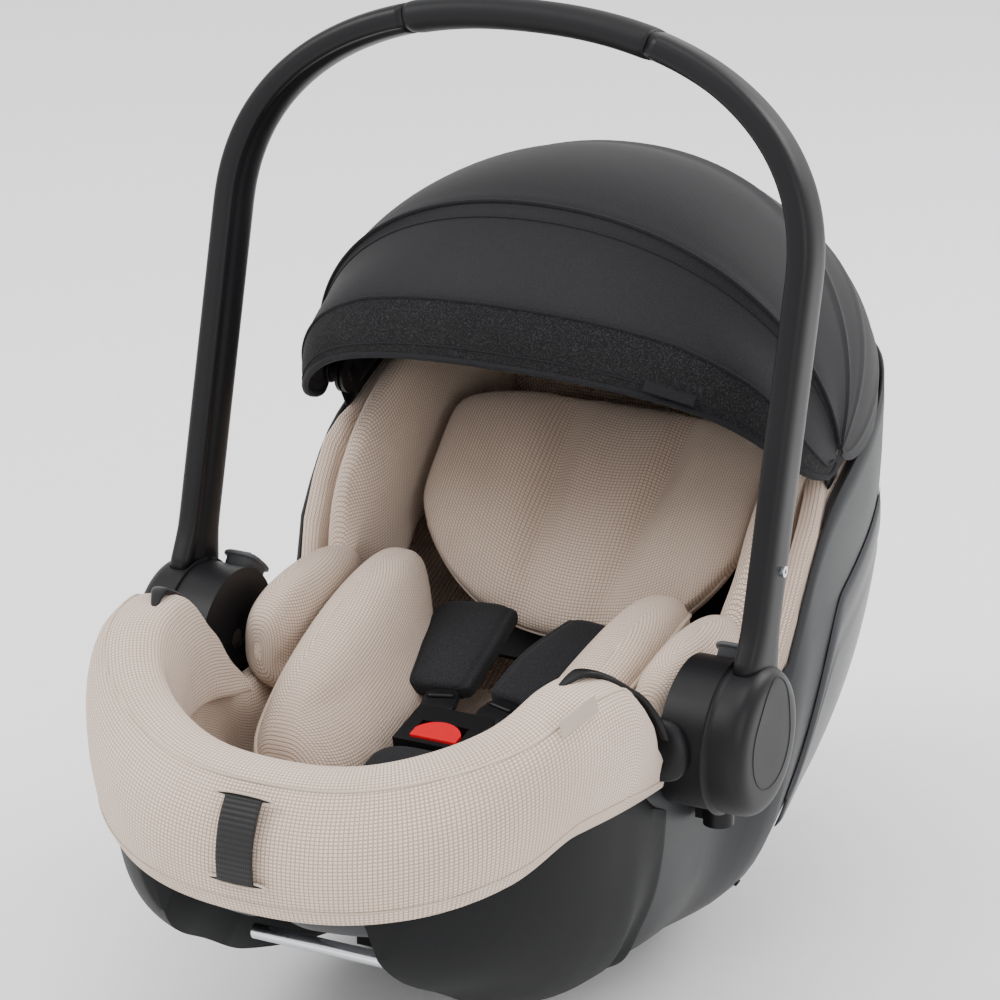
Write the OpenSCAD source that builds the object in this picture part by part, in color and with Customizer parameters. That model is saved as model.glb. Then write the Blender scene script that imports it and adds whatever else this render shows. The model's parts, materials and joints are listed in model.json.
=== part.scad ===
// Infant car seat: rear-facing baby shell with carry handle, folding sun canopy,
// padded cover, sliding headrest and three-point harness.
// Millimetres. +Z is up, +Y is the head end. Seen from the foot end, +X is on the right.
// The origin lies on the ground under the middle of the seat.

/* [Shell] */
// Half width of the shell at the head end
head_half_width = 189; // [187:0.5:190]
// Half width of the shell between the handle hubs
waist_half_width = 163; // [160:0.5:163]
// Wall thickness of the outer shell
shell_wall = 4; // [3:0.5:5]
// Distance from the handle screws to the foot end of the shell
foot_reach = 285; // [280:1:286]
// Distance from the handle screws to the head end of the shell
head_reach = 350; // [346:1:350]

/* [Handle] */
// Half width between the middles of the two handle legs
handle_half_width = 203.5; // [203.5:0.5:206]
// Distance from the pivot axis to the middle of the grip
handle_reach = 430; // [429:1:434]
// Height of the handle pivot above the ground
pivot_z = 210; // [208:1:212]
// Lean of the handle in its carry position, towards the head end
handle_lean = 14.8; // [12:0.1:16]
// Radius of the handle hubs
hub_r = 48; // [45:1:49]
// Radius of the pivot pins
pin_r = 7; // [6:0.5:8]

/* [Canopy] */
// Height of the canopy pivots above the ground
canopy_z = 345; // [343:1:347]
// Half width of the canopy at its pivots
canopy_half_width = 184; // [182:0.5:184]
// Thickness of the canopy fabric
fabric = 2.4; // [2:0.2:3]

/* [Harness] */
// Width of the harness webbing
webbing_w = 25; // [22:1:26]
// Thickness of the harness webbing
webbing_t = 2.4; // [2:0.2:3]

/* [Hidden] */

// Distance that the handle screws lie in front of the middle of the seat
screw_to_middle = 22.93;
pivot_y = -20;
leg_straight = 285;
canopy_y = 150;
hub_inner_x = 164.5;
hub_outer_x = 193.5;
cap_inner_x = 194;
cap_outer_x = 221;
black = "#26272a";
dark_grey = "#3b3c3f";
steel = "#b9bcc0";
beige = "#d9c8bb";
charcoal = "#38393c";

// ---------- curves ----------

function clamp(v, low, high) = max(low, min(high, v));
function mix(a, b, t) = a + (b - a) * t;
function ease(t) = let(c = clamp(t, 0, 1)) c * c * (3 - 2 * c);

// Value at y on a smooth curve through [y, value] points
function along(points, y, i = 0) =
    y <= points[0][0] ? points[0][1]
    : i >= len(points) - 1 ? points[len(points) - 1][1]
    : y <= points[i + 1][0]
        ? mix(points[i][1], points[i + 1][1], soft(points, y, i))
        : along(points, y, i + 1);
function soft(points, y, i) =
    let(t = (y - points[i][0]) / (points[i + 1][0] - points[i][0]))
    mix(t, ease(t), 0.35);

// Signed power, for superellipses
function spow(v, e) = sign(v) * pow(abs(v), e);

// Rim height of the shell: low foot end, notch at the hubs, steep rise to the head end
rim = [[-285, 206], [-215, 232], [-165, 254], [-130, 246], [-95, 220], [-62, 192], [-40, 186],
       [40, 190], [88, 210], [108, 258], [148, 309], [192, 332], [240, 351], [290, 370], [350, 380]];
// Height of the bottom centre line
keel = [[-285, 165], [-255, 140], [-200, 116], [-150, 96], [-100, 68], [-50, 34], [-10, 10], [60, 5],
        [126, 9], [160, 20], [220, 52], [260, 88], [305, 150], [335, 212], [350, 280]];
// Height of the bottom of the cheeks
cheek_keel = [[-285, 160], [-262, 122], [-200, 82], [-150, 52], [-100, 34], [-50, 24], [-10, 20]];

function rim_z(y) = along(rim, y);
function keel_z(y) = along(keel, y);
function foot_width(y) =
    waist_half_width * pow(max(0, 1 - pow(max(0, -90 - y) / (foot_reach - 90), 2.4)), 1 / 2.4);
function head_width(y) =
    head_half_width * pow(max(0, 1 - pow(max(0, y - 140) / (head_reach - 140), 3.2)), 1 / 3.2);
function half_width(y) = y < -90 ? foot_width(y)
    : mix(waist_half_width, head_width(y), ease((y - 35) / 75));
function section_power(y) = mix(2.8, 3.1, ease((y + 100) / 200));

// Point of the hull at length y, side s (-1 or 1) and depth angle a (0 rim, 90 keel).
// inset moves the surface inwards; drop starts it that far below the rim on the same curve.
function hull_point(y, s, a, inset = 0, drop = 0) =
    let(e = 2 / section_power(y),
        w = max(1.5, half_width(y) - inset),
        top = rim_z(y),
        low = min(keel_z(y) + inset, top - 6),
        a0 = drop == 0 ? 0 : asin(min(0.95, pow(drop / max(top - low, drop + 2), 1 / e))),
        b = mix(a0, 90, a / 90))
    [s * w * pow(cos(b), e), y, top - (top - low) * pow(sin(b), e)];

// Underside of the hull at half width x, grown outwards by gap
function hull_under(x, y, gap = 0) =
    let(w = half_width(y) + gap, n = section_power(y), top = rim_z(y))
    top - (top - keel_z(y) + gap) * pow(max(0, 1 - pow(min(x / w, 1), n)), 1 / n);

// One closed loop round the hull at depth angle a, from the foot end along +X and back
function hull_loop(a, inset = 0, drop = function(y) 0, n = 72) =
    let(mid = (head_reach - foot_reach) / 2, half = (head_reach + foot_reach) / 2 - 0.6 - inset)
    [for (i = [0:n - 1])
        let(t = (i + 0.5) * 360 / n, y = mid - half * cos(t))
        hull_point(y, t < 180 ? 1 : -1, a, inset, drop(y))];

// ---------- solids from rings ----------

function ring_faces(rings, n) =
    let(count = len(rings))
    concat(
        [for (i = [0:count - 2], j = [0:n - 1])
            let(k = (j + 1) % n) [i * n + j, i * n + k, (i + 1) * n + k]],
        [for (i = [0:count - 2], j = [0:n - 1])
            let(k = (j + 1) % n) [i * n + j, (i + 1) * n + k, (i + 1) * n + j]],
        [for (j = [0:n / 2 - 2]) each [[n - 1 - j, j + 1, j], [n - 1 - j, n - 2 - j, j + 1]]],
        [for (j = [0:n / 2 - 2], b = (count - 1) * n)
            each [[b + n - 1 - j, b + j, b + j + 1], [b + n - 1 - j, b + j + 1, b + n - 2 - j]]]);
function signed_volume(p, faces) =
    let(v = [for (f = faces) p[f[0]] * cross(p[f[1]], p[f[2]])]) v * [for (x = v) 1];

// Closed solid through a list of rings with the same even number of points each.
// Both ends are closed by joining opposite points, so bands and tubes both work.
module skin(rings) {
    n = len(rings[0]);
    p = [for (r = rings, q = r) q - [0, screw_to_middle, 0]];
    f = ring_faces(rings, n);
    polyhedron(p, signed_volume(p, f) > 0 ? [for (t = f) [t[2], t[1], t[0]]] : f, convexity = 8);
}

// Places children at x, y, z, with y measured from the handle screws
module at(x, y, z) translate([x, y - screw_to_middle, z]) children();

// Cylinder along X from x0 to x1, on the point y, z
module rod(x0, x1, y, z, r, n = 64)
    at(min(x0, x1), y, z) rotate([0, 90, 0]) cylinder(r = r, h = abs(x1 - x0), $fn = n);

// Superellipse loop in a plane with axes u and v about centre c
function loop(c, u, v, a, b, power = 2.6, n = 16) =
    [for (i = [0:n - 1]) let(t = (i + 0.5) * 360 / n)
        c + u * a * spow(cos(t), 2 / power) + v * b * spow(sin(t), 2 / power)];

// Tube with a superellipse section a by b swept along path; side is the section's first axis
function sweep_rings(path, side, a, b, power = 2.6, n = 12) =
    [for (i = [0:len(path) - 1])
        let(d = path[min(i + 1, len(path) - 1)] - path[max(i - 1, 0)],
            s = side - d * (side * d) / (d * d),
            u = s / norm(s),
            w = cross(d, u) / norm(cross(d, u)))
        loop(path[i], u, w, a, b, power, n)];
module sweep(path, side, a, b, power = 2.6, n = 12) skin(sweep_rings(path, side, a, b, power, n));

// Smooth path through a few points, with steps points a span
function catmull(p0, p1, p2, p3, t) =
    0.5 * (2 * p1 + (p2 - p0) * t + (2 * p0 - 5 * p1 + 4 * p2 - p3) * t * t
        + (3 * p1 - p0 - 3 * p2 + p3) * t * t * t);
function smooth_path(p, steps = 5) =
    let(n = len(p))
    concat([for (i = [0:n - 2], k = [0:steps - 1])
        catmull(p[max(i - 1, 0)], p[i], p[i + 1], p[min(i + 2, n - 1)], k / steps)], [p[n - 1]]);

// Crowned cushion: centre c, axes along and up with half sizes a and b, half width w along X.
// bend lifts the outer ends by that much along up.
module cushion(c, w, a, b, tilt = 0, bend = 0, power = 2.8, n = 14, steps = 9) {
    ahead = [0, cos(tilt), sin(tilt)];
    up = [0, -sin(tilt), cos(tilt)];
    skin([for (i = [0:steps])
        let(t = -86 + 172 * i / steps, k = pow(cos(t), 2 / power), s = spow(sin(t), 2 / power))
        loop(c + [w * s, 0, 0] + up * bend * s * s, ahead, up, a * mix(0.25, 1, k), b * k, power, n)]);
}

// ---------- shell ----------

module outer_shell() color(dark_grey)
    skin(concat(
        [for (i = [0:8]) hull_loop(84 - 10.5 * i)],
        [for (i = [0:8]) hull_loop(10.5 * i, shell_wall)]));

foam_drop = function(y) 14;
module foam_liner() color("#8d8f91")
    skin(concat(
        [for (i = [0:7]) hull_loop(84 - 12 * i, shell_wall + 2.4, foam_drop, 60)],
        [for (i = [0:7]) hull_loop(12 * i, shell_wall + 12, foam_drop, 60)]));

// The liner ends lower at the foot end, where the front cover takes over
liner_drop = function(y) along([[-285, 38], [-165, 48], [-95, 28], [-62, 9]], y);
module seat_liner() color(beige)
    skin(concat(
        [for (i = [0:7]) hull_loop(84 - 12 * i, shell_wall + 13.5, liner_drop, 60)],
        [for (i = [0:7]) hull_loop(12 * i, shell_wall + 21, liner_drop, 60)]));

// Strip of skin over the hull from y0 to y1, between depth angles a0(y) and a1(y)
module hull_patch(s, y0, y1, a0, a1, gap, thick, steps = 18, rows = 8)
    skin([for (i = [0:steps])
        let(y = mix(y0, y1, i / steps))
        concat(
            [for (k = [0:rows]) hull_point(y, s, mix(a0(y), a1(y), k / rows), -gap)],
            [for (k = [0:rows]) hull_point(y, s, mix(a1(y), a0(y), k / rows), -gap - thick)])]);

// Deep moulded cheek under the foot end, between the shell and a fuller outer surface.
// Its inner face is upright, so the two cheeks leave a channel along the middle.
cheek_channel = 66;
function cheek_point(y, s, x) =
    let(w = half_width(y) + 3.5, top = rim_z(y), n = mix(4, 3.1, ease((y + 150) / 120)))
    [s * min(x, w), y, top - (top - along(cheek_keel, y)) * pow(max(0, 1 - pow(min(x / w, 1), n)), 1 / n)];
module side_panel(s) color(black)
    skin([for (i = [0:16])
        let(y = mix(-264, -30, i / 16),
            w = half_width(y),
            a0 = mix(16, 40, ease((y + 84) / 54)),
            x1 = w * pow(cos(a0), 2 / section_power(y)),
            x0 = min(mix(cheek_channel, 100, ease((y + 70) / 40)), x1 - 12))
        concat(
            [for (k = [0:8]) let(x = mix(x0, x1 + 0.8, k / 8)) [s * x, y, hull_under(x, y, 1.2)]],
            [for (k = [8:-1:0]) let(x = mix(x0, x1 + 3.2, k / 8), p = cheek_point(y, s, x))
                [p[0], y, min(p[2], hull_under(x0, y, 3))]])]);

// Raised panel on the flank of the head end
module back_panel(s) color("#4a4b4e")
    hull_patch(s, 112, 262,
        function(y) mix(26, 8, ease((y - 112) / 60)),
        function(y) mix(34, 40, ease((y - 112) / 80)),
        0.6, 3, 10, 5);

// Runner under the shell; its underside is flat on the ground from skid_flat[0] to skid_flat[1]
skid_x = 68;
skid_flat = [0, 176];
module skid(s) color(black)
    skin([for (i = [0:12])
        let(y = mix(-20, 192, i / 12),
            z1 = hull_under(skid_x + 9, y, 2.2),
            low = max(0, max(0, skid_flat[0] - y) * 0.25, pow(max(0, y - skid_flat[1]) / 20, 2) * 6),
            in_top = max(min(hull_under(skid_x - 9, y, 2.2), z1), low + 2))
        [[s * (skid_x - 9), y, low], [s * (skid_x + 9), y, low],
         [s * (skid_x + 9), y, max(z1, low + 3)], [s * (skid_x - 9), y, in_top]]]);

// Tray with two latch pockets that closes the belly between the runners
module belly_tray() color(black)
    difference() {
        at(-48, 8, 0.6) cube([96, 120, 3.6]);
        at(-30, 20, -1) cube([60, 36, 10]);
        at(-30, 80, -1) cube([60, 36, 10]);
    }

bar_r = 5;
module front_bar() color(steel) rod(-cheek_channel + 0.5, cheek_channel - 0.5, -172, 84, bar_r);
module rear_bar() color(steel) rod(-58, 58, 172, 17, bar_r);

// Open hook at the back of the head end for the vehicle's shoulder belt
module rear_belt_hook() color(black)
    at(0, 284, 119) rotate([57, 0, 0]) difference() {
        translate([-46, 0, -27]) cube([92, 48, 24]);
        translate([-60, 10, -17]) cube([120, 60, 9]);
    }

// Socket on the flank where a pushchair adapter's spigot goes in from below
socket_r = 6;
module adapter_socket(s) color(black)
    difference() {
        union() {
            at(s * 178, -2, 140) cylinder(r = 10, h = 21, $fn = 48);
            at(s * 167.4, -2, 151) translate([-3.6, -5, -8]) cube([7.2, 10, 16]);
        }
        at(s * 178, -2, 136) cylinder(r = socket_r, h = 22, $fn = 48);
    }

// Hooked guide for the vehicle's lap belt, standing on the rim notch
module belt_guide(s) color(black) {
    path = smooth_path([[s * 152, -20, 198], [s * 151, -33, 193], [s * 151, -44, 203],
                        [s * 152, -52, 218], [s * 153, -57, 232]], 4);
    sweep(path, [1, 0, 0], 10, 7.5, 2.8, 12);
}

// Hard lip on the crest of the front cover, falling towards the belt notch
module rim_trim(s) color(black)
    sweep([for (i = [0:12]) let(y = mix(-176, -76, i / 12)) [s * 152, y, crest_z(y) + 4.8]],
        [1, 0, 0], 9, 3.6, 2.6, 10);

// ---------- handle ----------

// Point of the handle's middle line at angle t (0 side, 90 grip), in the handle's own plane
function bow_point(t) =
    let(h = handle_reach - leg_straight, e = 2 / 2.25)
    [handle_half_width * spow(cos(t), e), leg_straight + h * pow(sin(t), e)];
function leaning(p) =
    [p[0], pivot_y + p[1] * sin(handle_lean), pivot_z + p[1] * cos(handle_lean)];
grip_split = 68;
leg_foot = 55;
function leg_path(s) =
    [for (p = concat([for (h = [leg_foot, 100, 160, 225]) [handle_half_width, h]],
                     [for (t = [0:4:grip_split]) bow_point(t)]))
        leaning([s * p[0], p[1]])];
handle_deep = [0, cos(handle_lean), -sin(handle_lean)];

module handle_leg(s) color(black) sweep(leg_path(s), handle_deep, 17, 9.5, 3, 14);

module handle_grip() color(black)
    sweep([for (t = [grip_split + 0.15:(179.7 - 2 * grip_split) / 14:180 - grip_split]) leaning(bow_point(t))],
        handle_deep, 18, 10.5, 2.6, 14);

// Round cap that carries a leg and turns on the pivot pin
module handle_cap(s) color(black)
    difference() {
        union() {
            rod(s * cap_inner_x, s * cap_outer_x, pivot_y, pivot_z, hub_r);
            intersection() {
                at(s * handle_half_width, pivot_y, pivot_z) rotate([-handle_lean, 0, 0])
                    translate([-9.3, -17, 0]) cube([18.6, 34, leg_foot - 0.2]);
                rod(s * cap_inner_x, s * cap_outer_x, pivot_y, pivot_z, 80);
            }
        }
        rod(s * (cap_inner_x - 1), s * (cap_outer_x - 8), pivot_y, pivot_z, pin_r + 0.05);
    }

// Cap screws, recessed in the outer face of each leg
screw_reach = 108;
module handle_screws() color(steel)
    for (s = [-1, 1])
        let(p = leaning([s * (handle_half_width + 9.6), screw_reach]))
        difference() {
            rod(p[0], p[0] + s * 2.6, p[1], p[2], 3.6, 32);
            rod(p[0] + s, p[0] + s * 4, p[1], p[2], 1.8, 6);
        }

// Fixed hub: a cup that holds the lock ring and spring on the pivot pin
module hub(s) color(black)
    difference() {
        rod(s * hub_inner_x, s * hub_outer_x, pivot_y, pivot_z, hub_r);
        rod(s * (hub_inner_x + 5), s * (hub_outer_x - 4), pivot_y, pivot_z, 33);
        rod(s * (hub_inner_x - 1), s * (hub_outer_x + 1), pivot_y, pivot_z, pin_r + 0.05);
        button_slot(s);
    }

// Toothed ring that locks the handle and slides inwards on the pivot pin to free it
lock_teeth = 12;
module lock_ring(s) color(steel)
    difference() {
        union() {
            rod(s * 184, s * 189, pivot_y, pivot_z, 26);
            for (k = [0:lock_teeth - 1])
                at(s * 186.5, pivot_y, pivot_z) rotate([k * 360 / lock_teeth, 0, 0])
                    translate([-2.5, -2.5, 24]) cube([5, 5, 6]);
        }
        rod(s * 180, s * 192, pivot_y, pivot_z, pin_r + 0.05);
    }

// Coil springs that push the lock rings home
spring_r = 12;
spring_turns = 3;
module lock_springs() color(steel)
    for (s = [-1, 1])
        sweep([for (i = [0:spring_turns * 12]) let(t = i * 30)
            [s * mix(171.2, 182.4, i / (spring_turns * 12)), pivot_y + spring_r * cos(t),
             pivot_z + spring_r * sin(t)]],
            [1, 0, 0], 1, 1, 2, 6);

module pivot_pin(s) color(steel) rod(s * 165, s * 212, pivot_y, pivot_z, pin_r);

// Thumb button that sinks into the top of the hub
button_y = 14;
button_z = 242;
button_tilt = -40;
module button_place(s) at(s * 180, button_y, button_z) rotate([button_tilt, 0, 0]) children();
module button_slot(s) button_place(s) translate([-11.5, -14.5, -12]) cube([23, 29, 40]);
module release_button(s) color("#55575b")
    button_place(s) {
        translate([-11, -14, -4]) cube([22, 28, 13]);
        for (k = [-2:2]) translate([-11, k * 5 - 1, 9]) cube([22, 2, 1.2]);
    }

// ---------- soft cover ----------

// Height of the cover's crest and of its lower edge
function crest_z(y) = rim_z(y) + along([[-285, 40], [-215, 36], [-165, 30], [-95, 34], [-70, 42]], y);
cover_low = [[-285, 163], [-215, 182], [-170, 198], [-70, 190]];
cover_end = -70;

// Plan of the rim round the foot end, t from -1 to 1: [x, y, outward x, outward y]
function foot_outline(t) =
    let(s = t < 0 ? -1 : 1,
        f = min(abs(t) / 0.85, 1) * 90,
        e = 2 / 2.4,
        x = waist_half_width * pow(sin(f), e),
        y = abs(t) <= 0.85 ? -90 - (foot_reach - 90) * pow(cos(f), e)
            : mix(-90, cover_end, (abs(t) - 0.85) / 0.15),
        nx = pow(x / waist_half_width, 1.4) / waist_half_width,
        ny = pow(max(0, -90 - y) / (foot_reach - 90), 1.4) / (foot_reach - 90))
    [s * x, y, s * nx / norm([nx, ny]), -ny / norm([nx, ny])];

// Section of the cover: the foot end leans back towards its crest and the flanks flare
// outwards, less so beside the hubs
function cover_ring(t) =
    let(p = foot_outline(t),
        y = p[1],
        flank = ease((y + 275) / 90),
        flare = mix(1, 0.35, ease((y + 120) / 50)),
        front = [[7, 0], [12, 0.16], [13.5, 0.42], [8, 0.68], [-6, 0.9], [-22, 1], [-38, 0.98]],
        side = [[0, 0], [7, 0.18], [12, 0.45], [13, 0.7], [6, 0.92], [-9, 1], [-26, 0.98]],
        inner = [[-34, 0.8], [-39, 0.42], [-40, 0.2], [-32, 0.2], [-30, 0.42], [-24, 0.7], [-15, 0.84]],
        under_front = [[-9, 0.76], [-5, 0.7], [2, 0.6], [6, 0.4], [5.4, 0.16], [5.2, 0.02]],
        under_side = [[-6, 0.86], [2, 0.84], [4.4, 0.68], [4.4, 0.45], [3, 0.2], [2.6, 0.02]],
        section = concat(
            [for (k = [0:6]) mix(front[k], side[k] * (k < 5 ? flare : 1) + [k < 5 ? 6.5 : 0, 0], flank)],
            inner,
            [for (k = [0:5]) mix(under_front[k], under_side[k], flank)]))
    [for (q = section)
        [p[0] + p[2] * q[0], y + p[3] * q[0], mix(along(cover_low, y), crest_z(y), q[1])]];

module front_cover() color(beige) skin([for (i = [0:36]) cover_ring(-1 + i / 18)]);

// Tall padded wing beside the head
module wing(s) color(beige)
    skin([for (i = [0:8])
        let(y = mix(112, 288, i / 8),
            low = 190 + 10 * i,
            top = min(350, rim_z(y) - 6 + 26 * sin(i * 22.5)),
            x = half_width(y) - shell_wall - 39)
        loop([s * x, y, (top + low) / 2], [0, 0, 1], [1, 0, 0],
            (top - low) / 2 * pow(sin(mix(24, 156, i / 8)), 0.4), 9.5 * pow(sin(mix(18, 162, i / 8)), 0.5), 2.6, 14)]);

// Padded roll inside the hub
module bolster(s) color(beige)
    skin([for (i = [0:8])
        let(t = mix(-80, 80, i / 8))
        loop([s * 143, 32 + 58 * sin(t), 219], [0, 0, 1], [1, 0, 0], 29 * pow(cos(t), 0.6),
            17 * pow(cos(t), 0.6), 2.4, 14)]);

module insert_base() color(beige) cushion([0, -8, 140], 56, 96, 20, 8, 0, 3.2);

// Thick cushion beside the baby's hips, rising towards the shoulders
module insert_side(s) color(beige)
    skin([for (i = [0:10])
        let(t = mix(-82, 82, i / 10), y = -8 + 104 * sin(t))
        loop([s * (87 + 4 * sin(t)), y, 182 + 30 * sin(t)], [0, 0, 1], [1, 0, 0],
            52 * pow(cos(t), 0.5), 27 * pow(cos(t), 0.5), 2.6, 14)]);

headrest_tilt = 45;
module headrest_shell() color(dark_grey)
    at(0, 222, 196) rotate([headrest_tilt, 0, 0]) difference() {
        translate([-95, -70, -5]) cube([190, 150, 6]);
        translate([-60, -40, -10]) cube([24, 6, 20]);
        translate([36, -40, -10]) cube([24, 6, 20]);
    }

module headrest_cushion() color(beige)
    cushion([0, 197, 247], 120, 90, 22, headrest_tilt, 34, 3, 14, 12);

// ---------- harness ----------

module crotch_pad() color(black) cushion([0, -98, 163], 35, 42, 6.5, 16, 0, 3.4, 12, 6);

module buckle_body() color(black)
    at(0, -36, 178) rotate([12, 0, 0]) difference() {
        translate([-27, -22, -8]) cube([54, 40, 16]);
        translate([-17, -18, -6]) cube([34, 20, 16]);
    }

module buckle_button() color("#c8102e")
    at(0, -36, 178) rotate([12, 0, 0]) intersection() {
        translate([-16.5, -17.5, -1.5]) cube([33, 19, 11]);
        translate([0, -17, -2]) cylinder(r = 18.4, h = 12, $fn = 64);
    }

module buckle_tongues() color(black)
    for (s = [-1, 1])
        at(s * 18, -16, 183) rotate([14, 0, s * -14]) difference() {
            translate([-12, 0, -2]) cube([24, 25, 4]);
            translate([-8, 17, -4]) cube([16, 4, 8]);
        }

// Shoulder pad: a long padded sleeve round the webbing
function pad_path(s) = smooth_path([[s * 29, 11, 187], [s * 34, 42, 196], [s * 41, 70, 202],
                                    [s * 46, 96, 205]], 3);
module shoulder_pad(s) color(black) sweep(pad_path(s), [1, 0, 0], 25, 7.5, 3.4, 12);

module harness_straps() color(black)
    for (s = [-1, 1])
        sweep(smooth_path([[s * 46, 98.5, 205], [s * 47, 104, 202], [s * 47, 108, 195]], 3),
            [1, 0, 0], webbing_w / 2, webbing_t / 2, 5, 8);

// Webbing that tightens the harness, worn over the crest of the front cover
module adjuster_strap() color(black)
    sweep(smooth_path([[0, -288, 236], [0, -297, 222], [0, -302, 206], [0, -301, 190]], 3),
        [1, 0, 0], 12.5, webbing_t / 2, 5, 8);

// ---------- canopy ----------

// Point of the canopy skin: angle a about the pivots (0 head end, 90 up), side angle t
function canopy_reach(a) =
    along([[0, 190], [22, 196], [55, 189], [80, 176], [105, 166], [132, 150], [149, 122]], a);
function canopy_point(a, t, inset) =
    let(e = 2 / (mix(2.6, 2.1, ease((a - 20) / 40)) + 0.35 * ease((a - 115) / 30)),
        r = (canopy_reach(a) - inset) * pow(sin(t), e),
        x = (canopy_half_width - inset) * spow(cos(t), e))
    [x, canopy_y + r * cos(a), canopy_z + r * sin(a)];

// Curved sheet of the canopy between two angles
module canopy_sheet(a0, a1, steps, t0 = 7, inset = 0)
    skin([for (i = [0:steps])
        let(a = mix(a0, a1, i / steps))
        concat(
            [for (k = [0:20]) canopy_point(a, mix(t0, 180 - t0, k / 20), inset)],
            [for (k = [0:20]) canopy_point(a, mix(180 - t0, t0, k / 20), inset + fabric)])]);

mid_inset = 3;
front_inset = 7.5;
bow_gap = fabric + 0.5;
module canopy_visor() color(charcoal) canopy_sheet(135.3, 149, 3, 7, front_inset);
module canopy_front_panel() color(charcoal) canopy_sheet(107.3, 134.7, 4, 12, front_inset);
module canopy_mid_panel() color(charcoal) canopy_sheet(59.3, 106.7, 6, 7, mid_inset);
module canopy_rear_panel() color(charcoal) canopy_sheet(12, 58.7, 6);

// Flat bow under the fabric, with an eye at each end that turns on the canopy pin
module bow(a, inset, eye_x) color(black) {
    canopy_sheet(a - 1.4, a + 1.4, 1, 7, inset);
    for (s = [-1, 1])
        difference() {
            union() {
                rod(s * eye_x, s * (eye_x + eye_t), canopy_y, canopy_z, 14);
                at(s * (eye_x + eye_t / 2), canopy_y, canopy_z) rotate([a, 0, 0])
                    translate([-eye_t / 2, 8, -5]) cube([eye_t, 19, 10]);
            }
            rod(s * (eye_x - 1), s * (eye_x + eye_t + 1), canopy_y, canopy_z, canopy_pin_r + 0.05);
        }
}
eye_t = 2.4;
canopy_pin_r = 6;
module front_bow() bow(107, front_inset + bow_gap, 170);
module mid_bow() bow(59, mid_inset + bow_gap, 174.3);

// Brackets on the rim, each with a pin that the bows turn on
module canopy_pivots() color(black)
    for (s = [-1, 1]) {
        rod(s * 169.4, s * 186, canopy_y, canopy_z, canopy_pin_r);
        rod(s * 185, s * 188.4, canopy_y, canopy_z, 14);
        at(s * 186.7, canopy_y, 333) translate([-1.7, -13, -11]) cube([3.4, 26, 22]);
    }

// Upright fabric band between the shell's rim and the lower edge of the canopy
skirt_inset = 6;
module canopy_skirt() color(charcoal) {
    mid = (head_reach - foot_reach) / 2;
    half = (head_reach + foot_reach) / 2 - skirt_inset - 0.6;
    start = acos((mid - 164) / half);
    skin([for (i = [0:32])
        let(t = mix(start, 360 - start, i / 32),
            s = t < 180 ? 1 : -1,
            y = mid - half * cos(t),
            w = max(2, half_width(y + 2) - skirt_inset),
            turn = 90 * pow(clamp((y - 200) / (head_reach - skirt_inset - 200), 0, 1), 2),
            inward = [-s * cos(turn), -sin(turn), 0] * fabric,
            low = rim_z(y) + 0.8,
            top = max(low + 2, canopy_z + (y - canopy_y) * tan(12) - 2.5))
        [[s * w, y, low], [s * w, y, top], [s * w, y, top] + inward, [s * w, y, low] + inward]]);
}

outer_shell();
foam_liner();
side_panel(-1);  // side_panel_left
side_panel(1);  // side_panel_right
back_panel(-1);  // back_panel_left
back_panel(1);  // back_panel_right
skid(-1);  // skid_left
skid(1);  // skid_right
belly_tray();
front_bar();
rear_bar();
rear_belt_hook();
adapter_socket(-1);  // adapter_socket_left
adapter_socket(1);  // adapter_socket_right
belt_guide(-1);  // belt_guide_left
belt_guide(1);  // belt_guide_right
rim_trim(-1);  // rim_trim_left
rim_trim(1);  // rim_trim_right
hub(-1);  // hub_left
hub(1);  // hub_right
lock_ring(-1);  // lock_ring_left
lock_ring(1);  // lock_ring_right
lock_springs();
pivot_pin(-1);  // pivot_pin_left
pivot_pin(1);  // pivot_pin_right
release_button(-1);  // release_button_left
release_button(1);  // release_button_right
handle_leg(-1);  // handle_leg_left
handle_leg(1);  // handle_leg_right
handle_grip();
handle_cap(-1);  // handle_cap_left
handle_cap(1);  // handle_cap_right
handle_screws();
front_cover();
seat_liner();
wing(-1);  // wing_left
wing(1);  // wing_right
bolster(-1);  // bolster_left
bolster(1);  // bolster_right
insert_base();
insert_side(-1);  // insert_left
insert_side(1);  // insert_right
headrest_shell();
headrest_cushion();
crotch_pad();
buckle_body();
buckle_button();
buckle_tongues();
shoulder_pad(-1);  // shoulder_pad_left
shoulder_pad(1);  // shoulder_pad_right
harness_straps();
adjuster_strap();
canopy_visor();
canopy_front_panel();
canopy_mid_panel();
canopy_rear_panel();
canopy_skirt();
front_bow();
mid_bow();
canopy_pivots();
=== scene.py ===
"""Infant car seat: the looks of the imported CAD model, in its own frame and in metres.

Shapes are worked out in design millimetres, with y measured from the handle screws as in
part.scad, and world() turns them into the row frame.
"""

import json
import math

import bmesh
import bpy
import numpy as np
from mathutils import Matrix, Vector

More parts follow.
